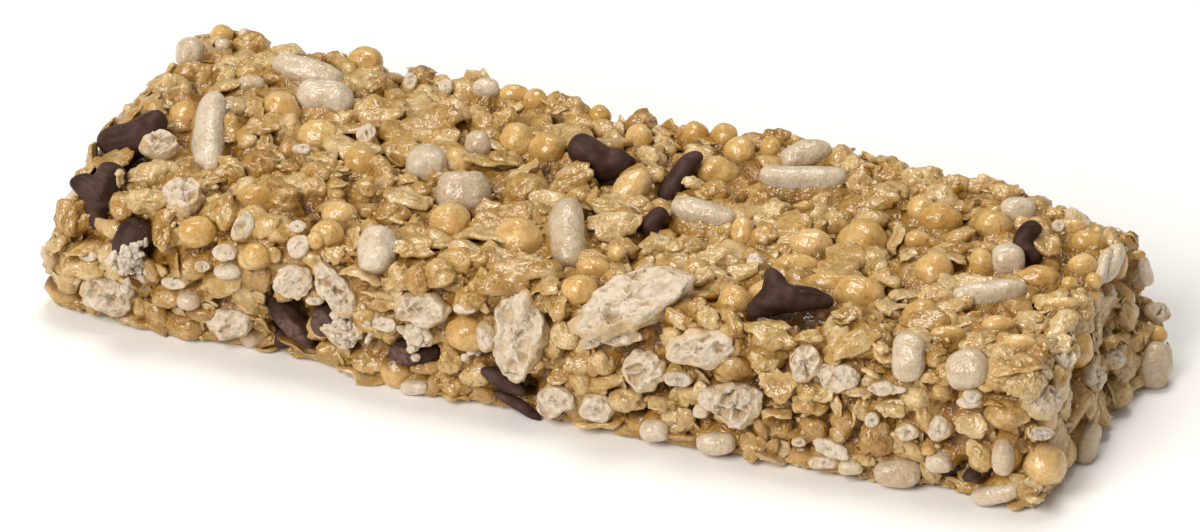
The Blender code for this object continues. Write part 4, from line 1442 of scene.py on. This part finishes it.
# The syrup between them, and what lies loose on it
relief, bed, bed_tone = syrup_bed()
height, cover, rubble = syrup_heights(relief, bed)
height = clear_of_chips(height)
core = skin + skin_normal * height[:, None]
core[:, 2] = np.maximum(core[:, 2], CORE_FOOT)
level = np.maximum(height, rubble - SUNK)
off_chips = near_chip >= CHIP_CLEAR
off_foot = (core[:, 2] > FOOT_CLEAR) | (skin_normal[:, 2] < -0.97)
free = np.flatnonzero((cover < level + FLAKE_CLIMB) & off_chips & off_foot)
beside = np.flatnonzero((cover < level + BIT_CLIMB) & off_chips)
small = loose_on("small_flakes", level, free)
bits = loose_on("oat_bits", level, beside)

golden_finish = toasted_finish("golden crisp", (0.75, 0.54, 0.26), (0.64, 0.415, 0.145),
                               (0.48, 0.27, 0.06), soft=0.8, coat=0.85, grain=0.10, pool_and_shade_share=0.6,
                               gloss=0.17, freckled=0.5)
pale_finish = toasted_finish("pale rice crisp", (0.70, 0.61, 0.495), (0.62, 0.515, 0.38),
                             (0.48, 0.355, 0.205), soft=0.7, coat=0.7, grain=0.13, pool_and_shade_share=0.8,
                             gloss=0.20, freckled=0.38)
oat_finish = toasted_finish("toasted oats", (0.72, 0.55, 0.30), (0.50, 0.31, 0.095),
                            (0.31, 0.145, 0.016), soft=0.7, coat=0.9, grain=0.15, gloss=0.15)
flake_finish = toasted_finish("oat flake", (0.75, 0.59, 0.35), (0.52, 0.335, 0.11),
                              (0.32, 0.155, 0.018), soft=0.25, coat=0.9, grain=0.15, gloss=0.14)
syrup_finish = toasted_finish("syrup and crumbs", (0.58, 0.38, 0.14), (0.45, 0.265, 0.068),
                              (0.30, 0.145, 0.016), soft=0.6, coat=0.85, grain=0.22, gloss=0.15)

add_kind("golden_crisps", golden_crisps(golden), golden, golden_finish)
add_kind("pale_crisps", pale_crisps(pale), pale, pale_finish)
add_kind("oat_clusters", oat_clusters(cluster), cluster, oat_finish)
add_kind("oat_lumps", oat_lumps(lump), lump, oat_finish)
add_kind("oat_flakes", oat_flakes(flake, 9, 26), flake, flake_finish)
add_kind("small_flakes", oat_flakes(small, 3, 10), small, flake_finish)
add_kind("oat_bits", broken_bits(bits, 3, 6, 0.42), bits, flake_finish)

torn_look = torn_finish()
large = puff.half[:, 0] * puff.half[:, 1] > LARGE_PUFF ** 2
for name, chosen, rows, around in (("large_puffs", large, 36, 48),
                                   ("small_puffs", ~large, 22, 30)):
    some = puff.only(chosen)
    made = torn_puffs(some, rows, around)
    add_kind(name, made, some, torn_look, torn=made[3], pit=made[4])

crumbs = crumb_patches()
made = broken_bits(crumbs, 6, 9, 0.5)
each_point = made[0].shape[:2]
add_kind("white_crumbs", made, crumbs, torn_look, torn=np.ones(each_point),
         pit=np.zeros(each_point))

chocolate = chocolate_finish()
for number, row in enumerate(CHIPS, start=1):
    name = f"chocolate_chip_{number:02d}"
    points, quads, tris, sliced = chocolate_chip(number, row)
    chip = make_piece(f"dark_{name}", points, quads, tris, chocolate, "chocolate", sliced=sliced)
    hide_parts(name)

# The core's depth under the skin drives its painted shade and pooled syrup colour
body = make_piece("syrup_core", core, skin_quads, np.zeros((0, 3), int), syrup_finish,
                  "oats_and_crisps", tone=bed_tone, deep=np.clip(-height / CORE_DEEP, 0, 1))
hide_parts("granola_body")
